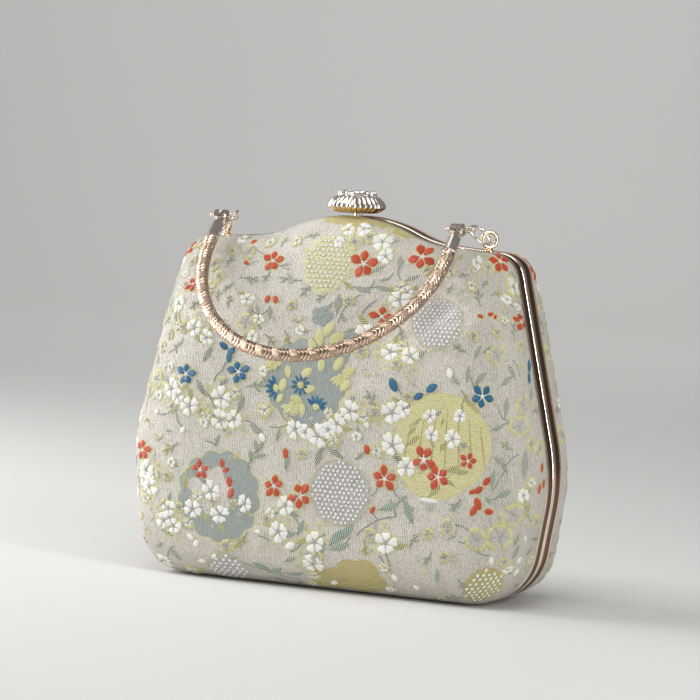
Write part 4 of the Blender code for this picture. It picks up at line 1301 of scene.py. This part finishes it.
for label, eye_x, foot_x, hooked, turn, yaw in (("right", 58.2, 64.2, 0.0, -50.0, 42.0),
                                                ("left", -57.0, -64.2, 1.0, 38.0, -38.0)):
    eye = Vector((eye_x, -12.2, 161.7924))
    foot = Vector((foot_x, KNOB_Y, 158.1924))
    facing = Vector((cos(radians(yaw)), sin(radians(yaw)), 0.0))
    u = (foot + hooked * facing - eye).normalized()
    up = (AXIS_Z - u * u.z).normalized()
    v = cos(radians(turn)) * up + sin(radians(turn)) * u.cross(up)
    ring = ring_wire("jump_ring_wire_" + label, eye + u * RING_RADIUS, u, v, RING_RADIUS, 0.6,
                     WIRE, 80)
    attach(ring, "ring_" + label)
    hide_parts("jump_ring_" + label)

    rows = []
    for radius, height in FOOT_SHAPE:
        row = circle((foot.x, KNOB_Y, 0), AXIS_X, AXIS_Y, radius, 40)
        for p in row:
            p.z = shoulder_z(p.x) - 0.02 if height is None else shoulder_z(foot.x) + height
        rows.append(row)
    loop = ring_wire("loop_ring", foot, facing, AXIS_Z, 3.3, 0.85, WARM)
    loop = join("frame_ring_" + label, [loop, skin("loop_foot", rows, WARM)])
    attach(loop, "front_half")
    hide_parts("frame_loop_" + label)

    rows = [circle(eye + AXIS_X * along, AXIS_Y, AXIS_Z, radius, 32 if radius else 1)
            for radius, along in PIN_SHAPE]
    upright = Vector((0, v.y, v.z)).normalized().cross(AXIS_X)
    pin_eye = ring_wire("pin_eye", eye, AXIS_X, upright, 1.85, 0.45, ROSE, 40, 12)
    pin = join("handle_pin_" + label, [skin("pin", rows, ROSE, angle=35.0), pin_eye])
    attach(pin, "ring_" + label)
    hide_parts("cross_pin_" + label)


# Stage, light and camera

AZIMUTH, ELEVATION, ROLL = radians(24.544), radians(3.929), radians(2.756)
FOCAL_PIXELS, IMAGE_PIXELS = 3117.3, 700.0


def sweep_floor():
    """A pale floor that curves up far behind the bag."""
    rows = [(-3.0, 0.0), (2.0, 0.0)]
    for i in range(1, 13):
        a = pi / 2.0 * i / 12.0
        rows.append((2.0 + 1.2 * sin(a), 1.2 - 1.2 * cos(a)))
    rows.append((3.2, 4.0))
    verts = [(x, y * 1000.0, z * 1000.0) for y, z in rows for x in (-6000.0, 6000.0)]
    faces = [(a, a + 1, a + 3, a + 2) for a in range(0, 2 * len(rows) - 2, 2)]
    pale = new_material("pale_floor", Roughness=0.6, Base_Color=(0.66, 0.655, 0.64, 1))[0]
    piece = make_mesh("floor", verts, faces, pale, angle=0)
    piece.rotation_euler.z = radians(24.5)


def soft_light(name, at, aim, size, power):
    data = bpy.data.lights.new(name, "AREA")
    data.shape = "RECTANGLE"
    data.size, data.size_y = size
    data.energy = power
    lamp = placed(name, data)
    lamp.location = at
    lamp.rotation_euler = (Vector(aim) - Vector(at)).to_track_quat("-Z", "Y").to_euler()


def camera():
    """The fitted camera, rolled a little as in the photograph."""
    back = Vector((sin(AZIMUTH) * cos(ELEVATION), -cos(AZIMUTH) * cos(ELEVATION), sin(ELEVATION)))
    right = Vector((cos(AZIMUTH), sin(AZIMUTH), 0.0))
    up = back.cross(right)
    turn = Matrix((right * cos(ROLL) + up * sin(ROLL), up * cos(ROLL) - right * sin(ROLL),
                   back)).transposed()
    data = bpy.data.cameras.new("camera")
    data.sensor_width = 36.0
    data.lens = FOCAL_PIXELS / IMAGE_PIXELS * data.sensor_width
    data.clip_start = 0.05
    data.clip_end = 20.0
    view = placed("camera", data)
    view.matrix_world = (Matrix.Translation(Vector((-0.002, 0.015, 0.105)) + back * 1.392)
                         @ turn.to_4x4())
    bpy.context.scene.camera = view


sweep_floor()
MIDDLE = (0, 0.01, 0.08)
soft_light("left_box", (-0.88, -0.12, 0.4), MIDDLE, (0.5, 0.8), 13.0)
soft_light("right_box", (0.9, -0.42, 0.38), MIDDLE, (0.12, 0.8), 5.0)
soft_light("top_box", (0.1, -0.35, 1.2), MIDDLE, (0.9, 0.7), 6.6)
soft_light("backdrop_box", (-0.45, 1.3, 1.7), (-1.2, 3.0, 0.5), (1.5, 0.5), 22.0)

world = bpy.data.worlds.new("studio")
world.use_nodes = True
world.node_tree.nodes["Background"].inputs[0].default_value = (1, 1, 1, 1)
world.node_tree.nodes["Background"].inputs[1].default_value = 0.2
bpy.context.scene.world = world
bpy.context.scene.view_settings.view_transform = "Standard"
camera()
